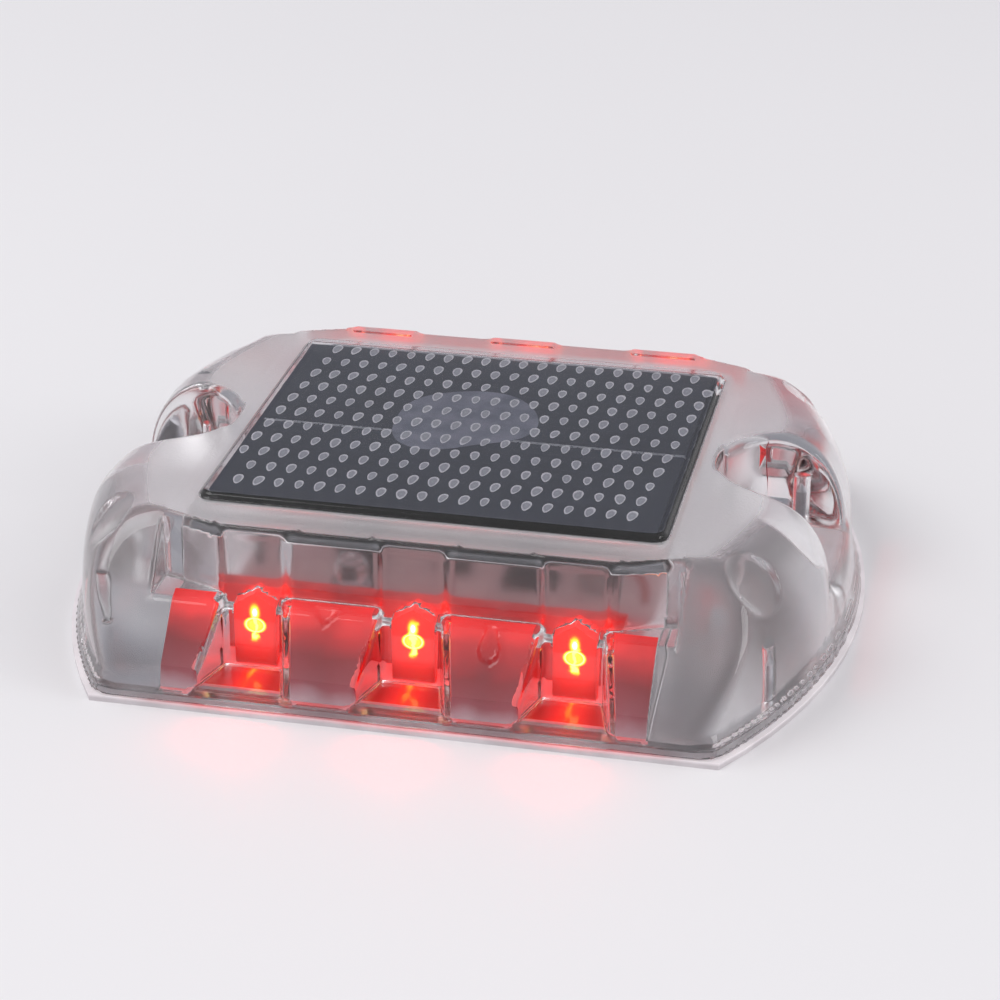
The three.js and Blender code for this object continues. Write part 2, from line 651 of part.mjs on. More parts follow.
function lampBar(side) {
  const back = lampFootY + LAMP_FLANGE + SEAT;
  const ys = [side * back, side * (back + BAR_THICK)].sort((a, b) => a - b);
  const half = OUTER_LAMP_X + LAMP_FLANGE_RADIUS + BAR_END;
  const body = box([-half, ys[0], PLATE_TOP + SEAT], [half, ys[1], BAR_TOP_Z]);
  const holes = lampXs.map((x) => {
    const hole = new THREE.CylinderGeometry(LAMP_RADIUS + FIT / 2, LAMP_RADIUS + FIT / 2, 4 * BAR_THICK, 24);
    return solid(hole.translate(x, side * back, LAMP_AXIS_Z));
  });
  return cut(body, holes);
}

// ---------- board, battery and small parts ----------
function mainBoard() {
  const board = prism(roundedRectangle(BOARD_LENGTH, BOARD_WIDTH, 2), BOARD_Z, BOARD_TOP, 3);
  return cut(
    board,
    pinSpots.map(([x, y]) => post(x, y, PIN_RADIUS + FIT / 2, 0, TOP_Z, 16)),
  );
}

const batteryZ = BOARD_TOP + SEAT + CRADLE_FLOOR + SEAT + BATTERY_RADIUS;

function alongX(radius, length, sides) {
  return new THREE.CylinderGeometry(radius, radius, length, sides).rotateZ(Math.PI / 2);
}

function batteryCell() {
  const cell = solid(alongX(BATTERY_RADIUS, BATTERY_LENGTH, 28));
  const cap = solid(alongX(BATTERY_RADIUS / 3, 2 * TIP_LENGTH, 16).translate(BATTERY_LENGTH / 2, 0, 0));
  return cell.add(cap).translate([0, BATTERY_Y, batteryZ]);
}

function batteryCradle() {
  const half = BATTERY_RADIUS + FIT + CRADLE_WALL;
  const low = BOARD_TOP + SEAT;
  const body = box(
    [-CRADLE_LENGTH / 2, BATTERY_Y - half, low],
    [CRADLE_LENGTH / 2, BATTERY_Y + half, batteryZ],
  );
  const trough = solid(alongX(BATTERY_RADIUS + SEAT, LENGTH, 28).translate(0, BATTERY_Y, batteryZ));
  return body.subtract(trough);
}

function batteryTab(side) {
  const x = side * (BATTERY_LENGTH / 2 + TIP_LENGTH + FIT);
  const xs = [x, x + side * TAB_THICK].sort((a, b) => a - b);
  return box(
    [xs[0], BATTERY_Y - TAB_HALF, BOARD_TOP + SEAT],
    [xs[1], BATTERY_Y + TAB_HALF, batteryZ + BATTERY_RADIUS / 2],
  );
}

function panelWire(side) {
  const x = side * (BOARD_LENGTH / 2 - WIRE_INSET);
  const straight = 2.5 * 2 * WIRE_RADIUS;
  const path = new THREE.CatmullRomCurve3([
    new THREE.Vector3(x, WIRE_Y, panelBoardLow - SEAT),
    new THREE.Vector3(x, WIRE_Y, panelBoardLow - straight),
    new THREE.Vector3(x - side * WIRE_SWAY, WIRE_Y + WIRE_SWAY, (panelBoardLow + BOARD_TOP) / 2),
    new THREE.Vector3(x, WIRE_Y + 2 * WIRE_SWAY, BOARD_TOP + straight),
    new THREE.Vector3(x, WIRE_Y + 2 * WIRE_SWAY, BOARD_TOP + SEAT),
  ]);
  const section = new THREE.Shape().absarc(0, 0, WIRE_RADIUS, 0, 2 * Math.PI);
  return solid(
    new THREE.ExtrudeGeometry(section, {
      steps: 12,
      curveSegments: 4,
      extrudePath: path,
      bevelEnabled: false,
    }),
  );
}

function boardBlock({ x, y, length, width, height }) {
  const foot = BOARD_TOP + SEAT;
  return box([x - length / 2, y - width / 2, foot], [x + length / 2, y + width / 2, foot + height]);
}

function boardCan({ x, y, radius, height }) {
  return post(x, y, radius, BOARD_TOP + SEAT, BOARD_TOP + SEAT + height, 28);
}

function lightSensor() {
  const foot = BOARD_TOP + 2 * SEAT + SPACER_HEIGHT;
  const shape = turned(lensPoints(LAMP_RADIUS, LAMP_FLANGE_RADIUS, SENSOR_LENGTH), 20);
  return solid(shape.translate(SENSOR_X, SENSOR_Y, foot));
}

function powerButton() {
  const points = [
    [0, BUTTON_RECESS],
    [BUTTON_RADIUS - 0.5, BUTTON_RECESS],
    [BUTTON_RADIUS, BUTTON_RECESS + 0.4],
    [BUTTON_RADIUS, PLATE_TOP + SEAT],
    [BUTTON_FLANGE_RADIUS, PLATE_TOP + SEAT],
    [BUTTON_FLANGE_RADIUS, PLATE_TOP + SEAT + BUTTON_FLANGE],
    [0, PLATE_TOP + SEAT + BUTTON_FLANGE],
  ];
  return solid(turned(points, 28).translate(0, BUTTON_Y, 0));
}

const plungerFoot = PLATE_TOP + BUTTON_FLANGE + 2 * SEAT;
const switchFoot = plungerFoot + BUTTON_TRAVEL;

function pushSwitch() {
  const half = SWITCH_SIDE / 2;
  const body = box([-half, BUTTON_Y - half, switchFoot], [half, BUTTON_Y + half, BOARD_Z - SEAT]);
  return body.subtract(post(0, BUTTON_Y, PLUNGER_RADIUS + FIT, 0, TOP_Z, 20));
}

// ---------- the stud ----------
place("housing", housing(), clear);
place("base_plate", basePlate(), smoked);
place("base_gasket", gasket(), rubber);
corners.forEach(({ name, sideX, sideY }) => {
  place("cover_screw_" + name, coverScrew(sideX * SCREW_X, sideY * SCREW_Y), steel);
});

const halfPanel = PANEL_LENGTH / 2;
place(
  "solar_board",
  panelLayer(halfPanel, -PANEL_WIDTH / 2, PANEL_WIDTH / 2, panelBoardLow, panelBoardTop),
  laminate,
);
const halfCell = halfPanel - CELL_MARGIN;
rows.forEach(({ name, side }) => {
  const split = CELL_SPLIT_Y + (side * CELL_GAP) / 2;
  const ys = [split, side * (PANEL_WIDTH / 2 - CELL_MARGIN)].sort((a, b) => a - b);
  place("solar_cell_" + name, panelLayer(halfCell, ys[0], ys[1], cellLow, PANEL_TOP), silicon);
});
const ribbonLow = CELL_SPLIT_Y - CELL_GAP / 2 + SEAT;
const ribbonHigh = CELL_SPLIT_Y + CELL_GAP / 2 - SEAT;
place("cell_ribbon", panelLayer(halfCell, ribbonLow, ribbonHigh, cellLow, PANEL_TOP), tinned);
const glueLow = PANEL_TOP + SEAT / 4;
const glueTop = CAVITY_TOP - SEAT / 4;
const glue = post(ADHESIVE_X, ADHESIVE_Y, ADHESIVE_RADIUS, glueLow, glueTop, 40);
place("panel_adhesive", glue, adhesive);

place("main_board", mainBoard(), laminate);
rows.forEach(({ name: rowName, side }) => {
  place("lamp_bar_" + rowName, lampBar(side), redPlastic);
  lampXs.forEach((x, index) => {
    const lampName = rowName + "_" + lampNames[index];
    place("lamp_" + lampName, lampLens(x, side), redLens);
    place("lamp_lead_a_" + lampName, lampLead(x - LEAD_PITCH / 2, side), tinned);
    place("lamp_lead_b_" + lampName, lampLead(x + LEAD_PITCH / 2, side), tinned);
  });
});

place("battery_cell", batteryCell(), sleeve);
place("battery_cradle", batteryCradle(), blackPlastic);
place("battery_tab_positive", batteryTab(1), tinned);
place("battery_tab_negative", batteryTab(-1), tinned);
place("panel_wire_positive", panelWire(1), redWire);
place("panel_wire_negative", panelWire(-1), blackWire);

place("controller_chip", boardBlock(CHIP), blackPlastic);
place("charge_diode", boardBlock(DIODE), blackPlastic);
place("inductor", boardCan(INDUCTOR), ferrite);
place("capacitor", boardCan(CAPACITOR), greyPlastic);
const spacer = { x: SENSOR_X, y: SENSOR_Y, length: SPACER_SIDE, width: SPACER_SIDE, height: SPACER_HEIGHT };
place("sensor_spacer", boardBlock(spacer), blackPlastic);
place("light_sensor", lightSensor(), clearLens);

place("push_switch", pushSwitch(), blackPlastic);
const buttonGroup = new THREE.Group();
stud.add(buttonGroup);
place("power_button", powerButton(), rubber, buttonGroup);
const plunger = post(0, BUTTON_Y, PLUNGER_RADIUS, plungerFoot, switchFoot + PLUNGER_DEPTH, 20);
place("switch_plunger", plunger, greyPlastic, buttonGroup);

export default stud;
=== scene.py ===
"""Looks of the solar road stud: a moulded clear housing, a dotted solar panel and lit red lamps.

The housing is worked out as one smooth distance field in millimetres, so that every edge has the
soft rounding of a moulding, and is then turned into a mesh. The other pieces are placed from the
frame and from the same dimensions.
"""
import json
import math

import bmesh
import bpy
import numpy as np
import openvdb
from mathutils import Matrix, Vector


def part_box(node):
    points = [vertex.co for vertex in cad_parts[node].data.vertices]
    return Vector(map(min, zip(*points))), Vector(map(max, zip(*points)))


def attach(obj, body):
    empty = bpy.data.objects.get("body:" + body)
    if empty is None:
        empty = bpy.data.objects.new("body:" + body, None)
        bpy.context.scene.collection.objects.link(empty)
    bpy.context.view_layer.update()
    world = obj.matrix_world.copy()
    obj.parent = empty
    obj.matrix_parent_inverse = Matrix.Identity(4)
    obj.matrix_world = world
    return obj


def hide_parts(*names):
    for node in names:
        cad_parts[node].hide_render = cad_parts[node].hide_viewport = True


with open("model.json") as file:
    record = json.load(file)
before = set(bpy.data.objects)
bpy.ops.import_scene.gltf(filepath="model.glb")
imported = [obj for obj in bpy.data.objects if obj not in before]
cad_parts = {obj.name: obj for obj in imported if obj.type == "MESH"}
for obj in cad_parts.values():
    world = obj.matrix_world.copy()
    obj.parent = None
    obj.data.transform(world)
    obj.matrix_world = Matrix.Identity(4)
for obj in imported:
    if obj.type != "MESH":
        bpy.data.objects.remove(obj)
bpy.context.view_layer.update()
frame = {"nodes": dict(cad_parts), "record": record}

MM = 0.001
BODY = "stud"

# ---------- camera and staging (metres and degrees) ----------
CAMERA_TARGET = Vector((-0.0124, 0.0762, -0.0245))
CAMERA_DISTANCE = 0.510
CAMERA_AZIMUTH = 12.2
CAMERA_ELEVATION = 25.9
CAMERA_LENS = 99.8  # millimetres, as the sensor is
CAMERA_SENSOR = 36
FLOOR_SIZE = 8.0
SKY_STRENGTH = 0.85
SKY_COLOR = (0.98, 0.97, 1.0, 1)
FLAG_DIRECTION = (-0.19, 0.88, 0.437)  # a dark flag behind the stud keeps the panel deep
FLAG_EDGE = 0.70  # cosines
FLAG_CORE = 0.93
FLAG_COLOR = (0.30, 0.31, 0.35, 1)
KEY_POWER = 3.6
KEY_PLACE = (-0.6, -0.2, 0.9)
KEY_SIZE = (0.8, 0.6)
SIDE_POWER = 1.5
SIDE_PLACE = (0.9, -0.1, 0.35)
SIDE_AIM = (0, 0, 0.01)
SIDE_SIZE = (0.3, 0.6)
GLOW_POWER = 0.0007
GLOW_OUT = 1.5  # millimetres from the long edge to the red light on the ground
GLOW_UP = 0.004
GLOW_REACH = 0.02
GLOW_SIZE = (0.007, 0.004)
EDGE_POWER = 0.00012
EDGE_OUT = 0.8  # millimetres from the bowed end
EDGE_UP = 0.003
EDGE_REACH = 0.008
EDGE_SIZE = (0.05, 0.003)


def mm(corner):
    return [value / MM for value in corner]


housing_low, housing_top = map(mm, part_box("housing"))
panel_low, panel_top = map(mm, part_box("solar_board"))
lamp_low, lamp_high = map(mm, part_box("lamp_front_right"))
plate_high = mm(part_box("base_plate")[1])

# ---------- housing dimensions (millimetres) ----------
HALF_LENGTH = plate_high[0]
HALF_WIDTH = plate_high[1]
TOP = housing_top[2]
FOOT = housing_low[2]
WINDOW_RISE = 1.0
DECK = TOP - WINDOW_RISE
END_BOW = 89.5  # plan radius of the bowed ends
RIM = 4.7  # height of the upright rim
DRAFT = 2.0  # the ends lean in this far up to the rim
REACH = 15.5  # plan length of the rounded shoulder
FULLNESS = 2.7  # power of the shoulder's superellipse
SLOPE_IN = 15.0  # the sloped long sides run in this far from the rim to the deck
WALL = 2.6
BLOCK_HALF = 37.6
BLOCK_STRAIGHT = 28.55
BLOCK_TAPER = 3.2
BLOCK_IN = 11.6
BLOCK_LEAN = 0.5
LEDGE = 14.0
LAMP_X = (lamp_low[0] + lamp_high[0]) / 2
LAMP_Z = (lamp_low[2] + lamp_high[2]) / 2
LAMP_TIP_IN = HALF_WIDTH + lamp_low[1]
LAMP_RADIUS = 2.5
TOWER_HALF = 4.15
TOWER_ROOT_HALF = 5.35
TOWER_DROP = 1.1
FACE_TOP_IN = 10.4
FACE_FOOT_IN = 8.7
NOTCH_FLOOR = 3.5
NOTCH_MOUTH = 6.7
POCKET_HALF = 3.05
POCKET_SHOULDER = 12.3
POCKET_RISE = 1.9
POCKET_GAP = 0.3
POCKET_BACK = 0.6
BELOW_STUD = -5.0
SLOT_IN = 11.9
SLOT_X = HALF_LENGTH - SLOT_IN
SLOT_RADIUS = 9.8
SLOT_FLOOR = 9.5
SCOOP = 1.2
SCOOP_HALF = 18.0
SCOOP_RISE = 6.0
HOLE = 2.6
SCREW_IN = 12.4
SCREW = (HALF_LENGTH - SCREW_IN, 32.0)
SCREW_HOLE = 1.5
SCREW_TOP = 11
DISH_RADIUS = 4.35
DISH_DEPTH = 1.0
PANEL_GAP = 0.3
PANEL_HALF = (panel_top[0] + PANEL_GAP, panel_top[1] + PANEL_GAP)
PANEL_CORNER = 0.5
WINDOW_MARGIN = 0.5
WINDOW_HALF = (panel_top[0] + WINDOW_MARGIN, panel_top[1] + WINDOW_MARGIN)
WINDOW_CORNER = 2.0
WINDOW_THICK = 2.1
WINDOW_UNDERSIDE = TOP - WINDOW_THICK
CAVITY_HALF = BLOCK_HALF - WALL
PLUG_IN = 2.7
PLUG_TOP = 2.3
GASKET_IN = 1.8
GASKET_TOP = 1.9
POINT_X = -12.0  # pointed recess under the front ledge
POINT_Z = 12.3
POINT_SLOPE = 1.1
DROP_X = 11.8  # drop-shaped recess
DROP_Z = 11.6
DROP_RADIUS = 1.5
MARK_DEPTH = 1.6
VOXEL = 0.66
RING_UP = -0.1  # the painted light pattern on each lamp's sleeve, from its axis
RING_HALF = 1.35
SPOT_UP = 1.9
BAY_LOW = 2.5
BAY_HIGH = 13.5
LAMP_TIP = HALF_WIDTH - LAMP_TIP_IN
UNLIT_FOOT = 0.5  # nothing glows below this height
PLATE_GAP = 1.3  # from the housing's foot to just above the base plate's plug
PLATE_PLUG = FOOT + PLATE_GAP - 0.2  # top of the plug
RED_LIGHT = (1.0, 0.018, 0.014)
INNER = "inner_face"  # marks the housing's satin inside
SATIN = 0.20
DECK_FROST = 0.26

# ---------- smaller pieces (millimetres) ----------
RIM_MARK = "dot_rim"  # marks the rims of the panel's dots
DOT_SEED = 7
DOT_ROWS = 11
DOT_COLUMNS = 21
DOT_PITCH_X = 3.07
DOT_PITCH_Y = 5.0
DOT_OFFSET_Y = 2.0
DOT_WIDTH = 1.85
DOT_LENGTH = 3.2
DOT_DOME = 0.012
DOT_LIFT = 0.08
DOT_SKEW = 0.45
DOT_MARGIN = 1.3
GLUE_STEPS = 72
GLUE_SPREAD = 11.0
GLUE_WOBBLE = (0.8, 0.6, 0.45)
GLUE_GAP = 0.02
SLEEVE_OVERLAP = 0.05  # the sleeve meets the plastic all round
SLEEVE_LENGTH = 4.5
BAY_DEPTH = 2.5  # the painted glow sheets lie this deep behind the sloped faces
BAY_THICK = 0.2
BAY_TOP = 13.7
BAY_FOOT = 2.6
BAY_MARGIN = 0.1
STREAK_HALF = 4.6
STREAK_FLARE = 1.3
STREAK_IN = 3.2
STREAK_LOW = 0.02  # above the base plate's plug
STREAK_HIGH = 0.07


# ---------- distance fields ----------
def union(a, b, soft):
    """The smaller of two distances, with a fillet where they meet."""
    blend = np.maximum(soft - np.abs(a - b), 0) / soft
    return np.minimum(a, b) - blend * blend * soft / 4


def common(a, b, soft):
    return -union(-a, -b, soft)


def cut(body, cutter, soft):
    return common(body, -cutter, soft)


def ramp(low, high, value):
    t = np.clip((value - low) / (high - low), 0, 1)
    return t * t * (3 - 2 * t)


def ends_field(ax, ay, z, wall):
    """Between the two bowed ends: a drafted rim and a rounded shoulder up to the deck."""
    centre = HALF_LENGTH - END_BOW
    plan = np.hypot(ax - centre, ay) - END_BOW + wall
    scoop = SCOOP * (1 - ramp(SLOT_RADIUS, SCOOP_HALF, ay)) * ramp(RIM, RIM + SCOOP_RISE, z)
    plan = plan + DRAFT * np.clip(z / RIM, 0, 1) + scoop
    height = DECK - wall - RIM
    u = np.clip(plan + REACH, 0.05, None)
    w = np.clip(z - RIM, 0, None)
    total = (u / REACH) ** FULLNESS + (w / height) ** FULLNESS
    size = total ** (1 / FULLNESS)
    slope_u = (u / REACH) ** (FULLNESS - 1) / REACH
    slope_w = (w / height) ** (FULLNESS - 1) / height
    steep = np.hypot(slope_u, slope_w) * size / total
    return (size - 1) / np.maximum(steep, 1e-6)


def slopes_field(ay, z, wall):
    """Between the two sloped long sides."""
    run = SLOPE_IN / (DECK - RIM)
    slope = (ay - HALF_WIDTH + (z - RIM) * run) / math.hypot(1, run) + wall
    return common(slope, ay - HALF_WIDTH + wall, 0.8)


def block_edge(ax, z):
    taper = BLOCK_TAPER * np.clip((ax - BLOCK_STRAIGHT) / (BLOCK_HALF - BLOCK_STRAIGHT), 0, 1)
    return HALF_WIDTH - BLOCK_IN + BLOCK_LEAN * (DECK - z) / (DECK - LEDGE) - taper


def rounded_plan(ax, ay, half, radius):
    qx = ax - half[0] + radius
    qy = ay - half[1] + radius
    outside = np.hypot(np.maximum(qx, 0), np.maximum(qy, 0))
    return outside + np.minimum(np.maximum(qx, qy), 0) - radius


def face_in(z):
    rise = (z - NOTCH_FLOOR) / (DECK - NOTCH_FLOOR)
    return FACE_FOOT_IN + (FACE_TOP_IN - FACE_FOOT_IN) * rise


def notch_field(lamp, ay, z, grow, floor, soft):
    """The space in front of a tower's face, flaring towards the long edge."""
    depth = ay - (HALF_WIDTH - face_in(z))
    flare = (NOTCH_MOUTH - TOWER_HALF) / FACE_FOOT_IN
    side = (lamp - TOWER_HALF - flare * np.clip(depth, 0, None)) - grow
    return common(common(side, -depth - grow, soft), floor - z, soft)


def pocket_field(lamp, ay, z):
    gable = POCKET_SHOULDER + POCKET_RISE * (1 - lamp / POCKET_HALF)
    front = HALF_WIDTH - LAMP_TIP_IN + POCKET_GAP
    back = HALF_WIDTH - BLOCK_IN - WALL - POCKET_BACK
    sides = np.maximum(lamp - POCKET_HALF, z - gable)
    return np.maximum(sides, np.maximum(ay - front, back - ay))


def dish_field(ax, ay, z):
    """A round dish square to the shoulder over each cover screw."""
    crown = HALF_LENGTH - (END_BOW - math.sqrt(END_BOW**2 - SCREW[1] ** 2)) - DRAFT - REACH
    height = DECK - RIM
    out = (SCREW[0] - crown) / REACH
    up = (1 - out**FULLNESS) ** (1 / FULLNESS)
    tilt = math.atan2(out ** (FULLNESS - 1) / REACH, up ** (FULLNESS - 1) / height)
    spin = math.asin(SCREW[1] / END_BOW)
    centre = (SCREW[0], SCREW[1], RIM + height * up)
    normal = (math.sin(tilt) * math.cos(spin), math.sin(tilt) * math.sin(spin), math.cos(tilt))
    offset = [ax - centre[0], ay - centre[1], z - centre[2]]
    along = sum(o * n for o, n in zip(offset, normal))
    away = np.sqrt(np.maximum(sum(o * o for o in offset) - along * along, 0))
    return common(away - DISH_RADIUS, -DISH_DEPTH - along, 0.8)


def cavity_field(ax, ay, z, lamp):
    ceiling = LEDGE - WALL
    lower = np.maximum(slopes_field(ay, z, WALL), z - ceiling)
    upper = np.maximum(ay - block_edge(ax, z) + WALL, z - (DECK - WALL))
    room = np.maximum(np.minimum(lower, upper), ax - CAVITY_HALF)
    walls = notch_field(lamp, ay, z, WALL / 2, BELOW_STUD, 1.0)
    room = cut(room, walls, 1.0)
    under_window = np.maximum(rounded_plan(ax, ay, PANEL_HALF, PANEL_CORNER), z - WINDOW_UNDERSIDE)
    under_window = np.maximum(under_window, DECK - WALL - 1 - z)
    return np.minimum(union(room, under_window, 0.4), pocket_field(lamp, ay, z))


def from_lamp(x):
    """How far along the row the nearest lamp is."""
    return np.abs(x - np.clip(np.round(x / LAMP_X), -1, 1) * LAMP_X)


def ledge_marks_field(x, y, z):
    """Two small recesses under the front ledge: a pointed one and a drop-shaped one."""
    point = np.maximum(np.abs(x - POINT_X) - POINT_SLOPE * (z - POINT_Z), z - LEDGE - 1)
    drop = np.hypot(x - DROP_X, z - DROP_Z) - DROP_RADIUS
    neck = np.maximum(np.abs(x - DROP_X) - 0.5 * DROP_RADIUS, np.maximum(DROP_Z - z, z - LEDGE - 1))
    drop = union(drop, neck, 0.8)
    slope = HALF_WIDTH + y - (z - RIM) * SLOPE_IN / (DECK - RIM)
    return np.maximum(common(np.minimum(point, drop), slope - MARK_DEPTH, 0.4), y)


def outer_field(x, y, z):
    """The housing's outer faces, with everything under them filled in."""
    ax = np.abs(x)
    ay = np.abs(y)
    lamp = from_lamp(x)
    body = common(ends_field(ax, ay, z, 0), slopes_field(ay, z, 0), 2.2)
    over_ledge = np.maximum(ax - BLOCK_HALF, LEDGE - z)
    body = cut(body, over_ledge, 0.8)
    block = common(ax - BLOCK_HALF, ay - block_edge(ax, z), 0.8)
    block = common(np.maximum(block, LEDGE - 2 - z), z - DECK, 1.0)
    body = union(body, block, 0.8)
    face = HALF_WIDTH - face_in(z)
    root = HALF_WIDTH - BLOCK_IN
    spread = np.clip((face - ay) / (face - root), 0, 1.5)
    tower = lamp - TOWER_HALF - (TOWER_ROOT_HALF - TOWER_HALF) * spread
    tower = common(tower, ay - face, 0.6)
    top = DECK - TOWER_DROP * np.clip(1 - (face - ay) / (face - root), 0, 1)
    tower = np.maximum(common(tower, z - top, 0.8), np.maximum(LEDGE - 2 - z, root - 2 - ay))
    body = union(body, tower, 0.8)
    window = common(rounded_plan(ax, ay, WINDOW_HALF, WINDOW_CORNER), z - TOP, 0.9)
    body = union(body, np.maximum(window, DECK - 2 - z), 0.8)
    body = cut(body, notch_field(lamp, ay, z, 0, NOTCH_FLOOR, 0.5), 0.7)
    slot = np.hypot(np.minimum(ax - SLOT_X, 0), ay) - SLOT_RADIUS
    body = cut(body, common(slot, SLOT_FLOOR - z, 1.5), 2.4)
    body = cut(body, dish_field(ax, ay, z), 0.9)
    return cut(body, ledge_marks_field(x, y, z), 0.4)


def housing_field(x, y, z):
    """Signed distance to the housing, negative inside the plastic."""
    ax = np.abs(x)
    ay = np.abs(y)
    lamp = from_lamp(x)
    body = cut(outer_field(x, y, z), cavity_field(ax, ay, z, lamp), 0.5)
    outline = np.maximum(ends_field(ax, ay, 0 * z, 0), ay - HALF_WIDTH)
    plug = np.maximum(outline + PLUG_IN, z - PLUG_TOP)
    gasket = np.maximum(outline + GASKET_IN, z - GASKET_TOP)
    body = cut(body, np.minimum(plug, gasket), 0.2)
    hole = np.hypot(ax - SLOT_X, ay) - HOLE
    screw = np.maximum(np.hypot(ax - SCREW[0], ay - SCREW[1]) - SCREW_HOLE, z - SCREW_TOP)
    body = cut(body, np.minimum(hole, screw), 0.4)
    return common(body, FOOT - z, 0.5)


def gradient(field, points, step=0.02):
    slopes = []
    for axis in range(3):
        shift = np.zeros(3)
        shift[axis] = step
        slopes.append(field(*(points + shift).T) - field(*(points - shift).T))
    return np.stack(slopes, axis=1) / (2 * step)


def mesh_of_field(name, field, low, high, voxel):
    """The surface where the field is zero, as an object in metres with smooth exact normals."""
    counts = [int(math.ceil((h - l) / voxel)) + 1 for l, h in zip(low, high)]
    axes = [l + voxel * np.arange(n) for l, n in zip(low, counts)]
    x, y, z = (a.reshape([-1 if i == k else 1 for i in range(3)]) for k, a in enumerate(axes))
    values = np.ascontiguousarray(np.broadcast_to(field(x, y, z), counts), dtype=np.float32)
    grid = openvdb.FloatGrid(float(4 * voxel))
    grid.copyFromArray(np.clip(values, -4 * voxel, 4 * voxel))
    points, triangles, quads = grid.convertToPolygons(isovalue=0.0)
    points = np.asarray(points, float) * voxel + np.array(low)
    for _ in range(3):
        slope = gradient(field, points)
        size = np.maximum((slope * slope).sum(axis=1), 0.2)
        move = slope * (field(*points.T) / size)[:, None]
        length = np.linalg.norm(move, axis=1)
        move *= np.minimum(1, 0.5 * voxel / np.maximum(length, 1e-9))[:, None]
        points -= move
    mesh = bpy.data.meshes.new(name)
    mesh.from_pydata((points * MM).tolist(), [], triangles.tolist() + quads.tolist())
    obj = bpy.data.objects.new(name, mesh)
    bpy.context.scene.collection.objects.link(obj)
    slope = gradient(field, points)
    slope /= np.maximum(np.linalg.norm(slope, axis=1), 1e-9)[:, None]
    if sum(face.normal.dot(Vector(slope[face.vertices[0]])) for face in mesh.polygons) < 0:
        mesh.flip_normals()
    mesh.shade_smooth()
    mesh.normals_split_custom_set_from_vertices(slope.tolist())
    return obj


# ---------- materials ----------
class Material:
    """A node material, with short ways to add nodes and to link them."""

    def __init__(self, name):
        self.data = bpy.data.materials.new(name)
        self.data.use_nodes = True
        self.tree = self.data.node_tree
        self.shader = self.tree.nodes["Principled BSDF"]

    def node(self, kind, **settings):
        made = self.tree.nodes.new(kind)
        for key, value in settings.items():
            setattr(made, key, value)
        return made

    def link(self, source, target):
        self.tree.links.new(source, target)

    def set(self, **values):
        for key, value in values.items():
            self.shader.inputs[key.replace("_", " ")].default_value = value
        return self

    def position(self):
        return self.node("ShaderNodeTexCoord").outputs["Object"]

    def noise(self, scale, detail=3.0, roughness=0.5):
        made = self.node("ShaderNodeTexNoise")
        made.inputs["Scale"].default_value = scale
        made.inputs["Detail"].default_value = detail
        made.inputs["Roughness"].default_value = roughness
        self.link(self.position(), made.inputs["Vector"])
        return made.outputs["Fac"]

    def math(self, operation, first, second=None):
        made = self.node("ShaderNodeMath", operation=operation)
        for index, value in enumerate((first, second)):
            if value is None:
                continue
            if isinstance(value, (int, float)):
                made.inputs[index].default_value = value
            else:
                self.link(value, made.inputs[index])
        return made.outputs[0]

    def ramp(self, factor, stops):
        made = self.node("ShaderNodeValToRGB")
        band = made.color_ramp
        while len(band.elements) < len(stops):
            band.elements.new(0.5)
        for element, (place, color) in zip(band.elements, stops):
            element.position = place
            element.color = (*color, 1.0)
        self.link(factor, made.inputs["Fac"])
        return made.outputs["Color"]

    def spread(self, factor, low, high, to_low, to_high):
        """A value that goes from to_low to to_high as factor goes from low to high."""
        made = self.node("ShaderNodeMapRange")
        for key, value in (("From Min", low), ("From Max", high), ("To Min", to_low), ("To Max", to_high)):
            made.inputs[key].default_value = value
        self.link(factor, made.inputs["Value"])
        return made.outputs["Result"]

    def bump(self, height, distance, strength=1.0):
        made = self.node("ShaderNodeBump")
        made.inputs["Distance"].default_value = distance
        made.inputs["Strength"].default_value = strength
        self.link(height, made.inputs["Height"])
        self.link(made.outputs["Normal"], self.shader.inputs["Normal"])


def moulded(name, color, dark, roughness, grain=900, coat=0.0):
    """Moulded plastic, rubber or enamel: two close tones, a fine grain and uneven gloss."""
    made = Material(name)
    made.set(Coat_Weight=coat, Coat_Roughness=0.1)
    tone = made.noise(grain / 6, 4)
    made.link(made.ramp(tone, [(0.35, dark), (0.65, color)]), made.shader.inputs["Base Color"])
    fine = made.noise(grain * 3, 2)
    gloss = made.spread(fine, 0.3, 0.7, roughness - 0.06, roughness + 0.06)
    made.link(gloss, made.shader.inputs["Roughness"])
    made.bump(fine, 0.00003, 0.4)
    return made


def metal(name, color, dark, roughness, scale):
    made = Material(name)
    made.set(Metallic=1.0)
    streak = made.noise(scale, 5, 0.7)
    made.link(made.ramp(streak, [(0.3, dark), (0.7, color)]), made.shader.inputs["Base Color"])
    gloss = made.spread(streak, 0.3, 0.7, roughness, roughness + 0.15)
    made.link(gloss, made.shader.inputs["Roughness"])
    made.bump(streak, 0.00002, 0.3)
    return made


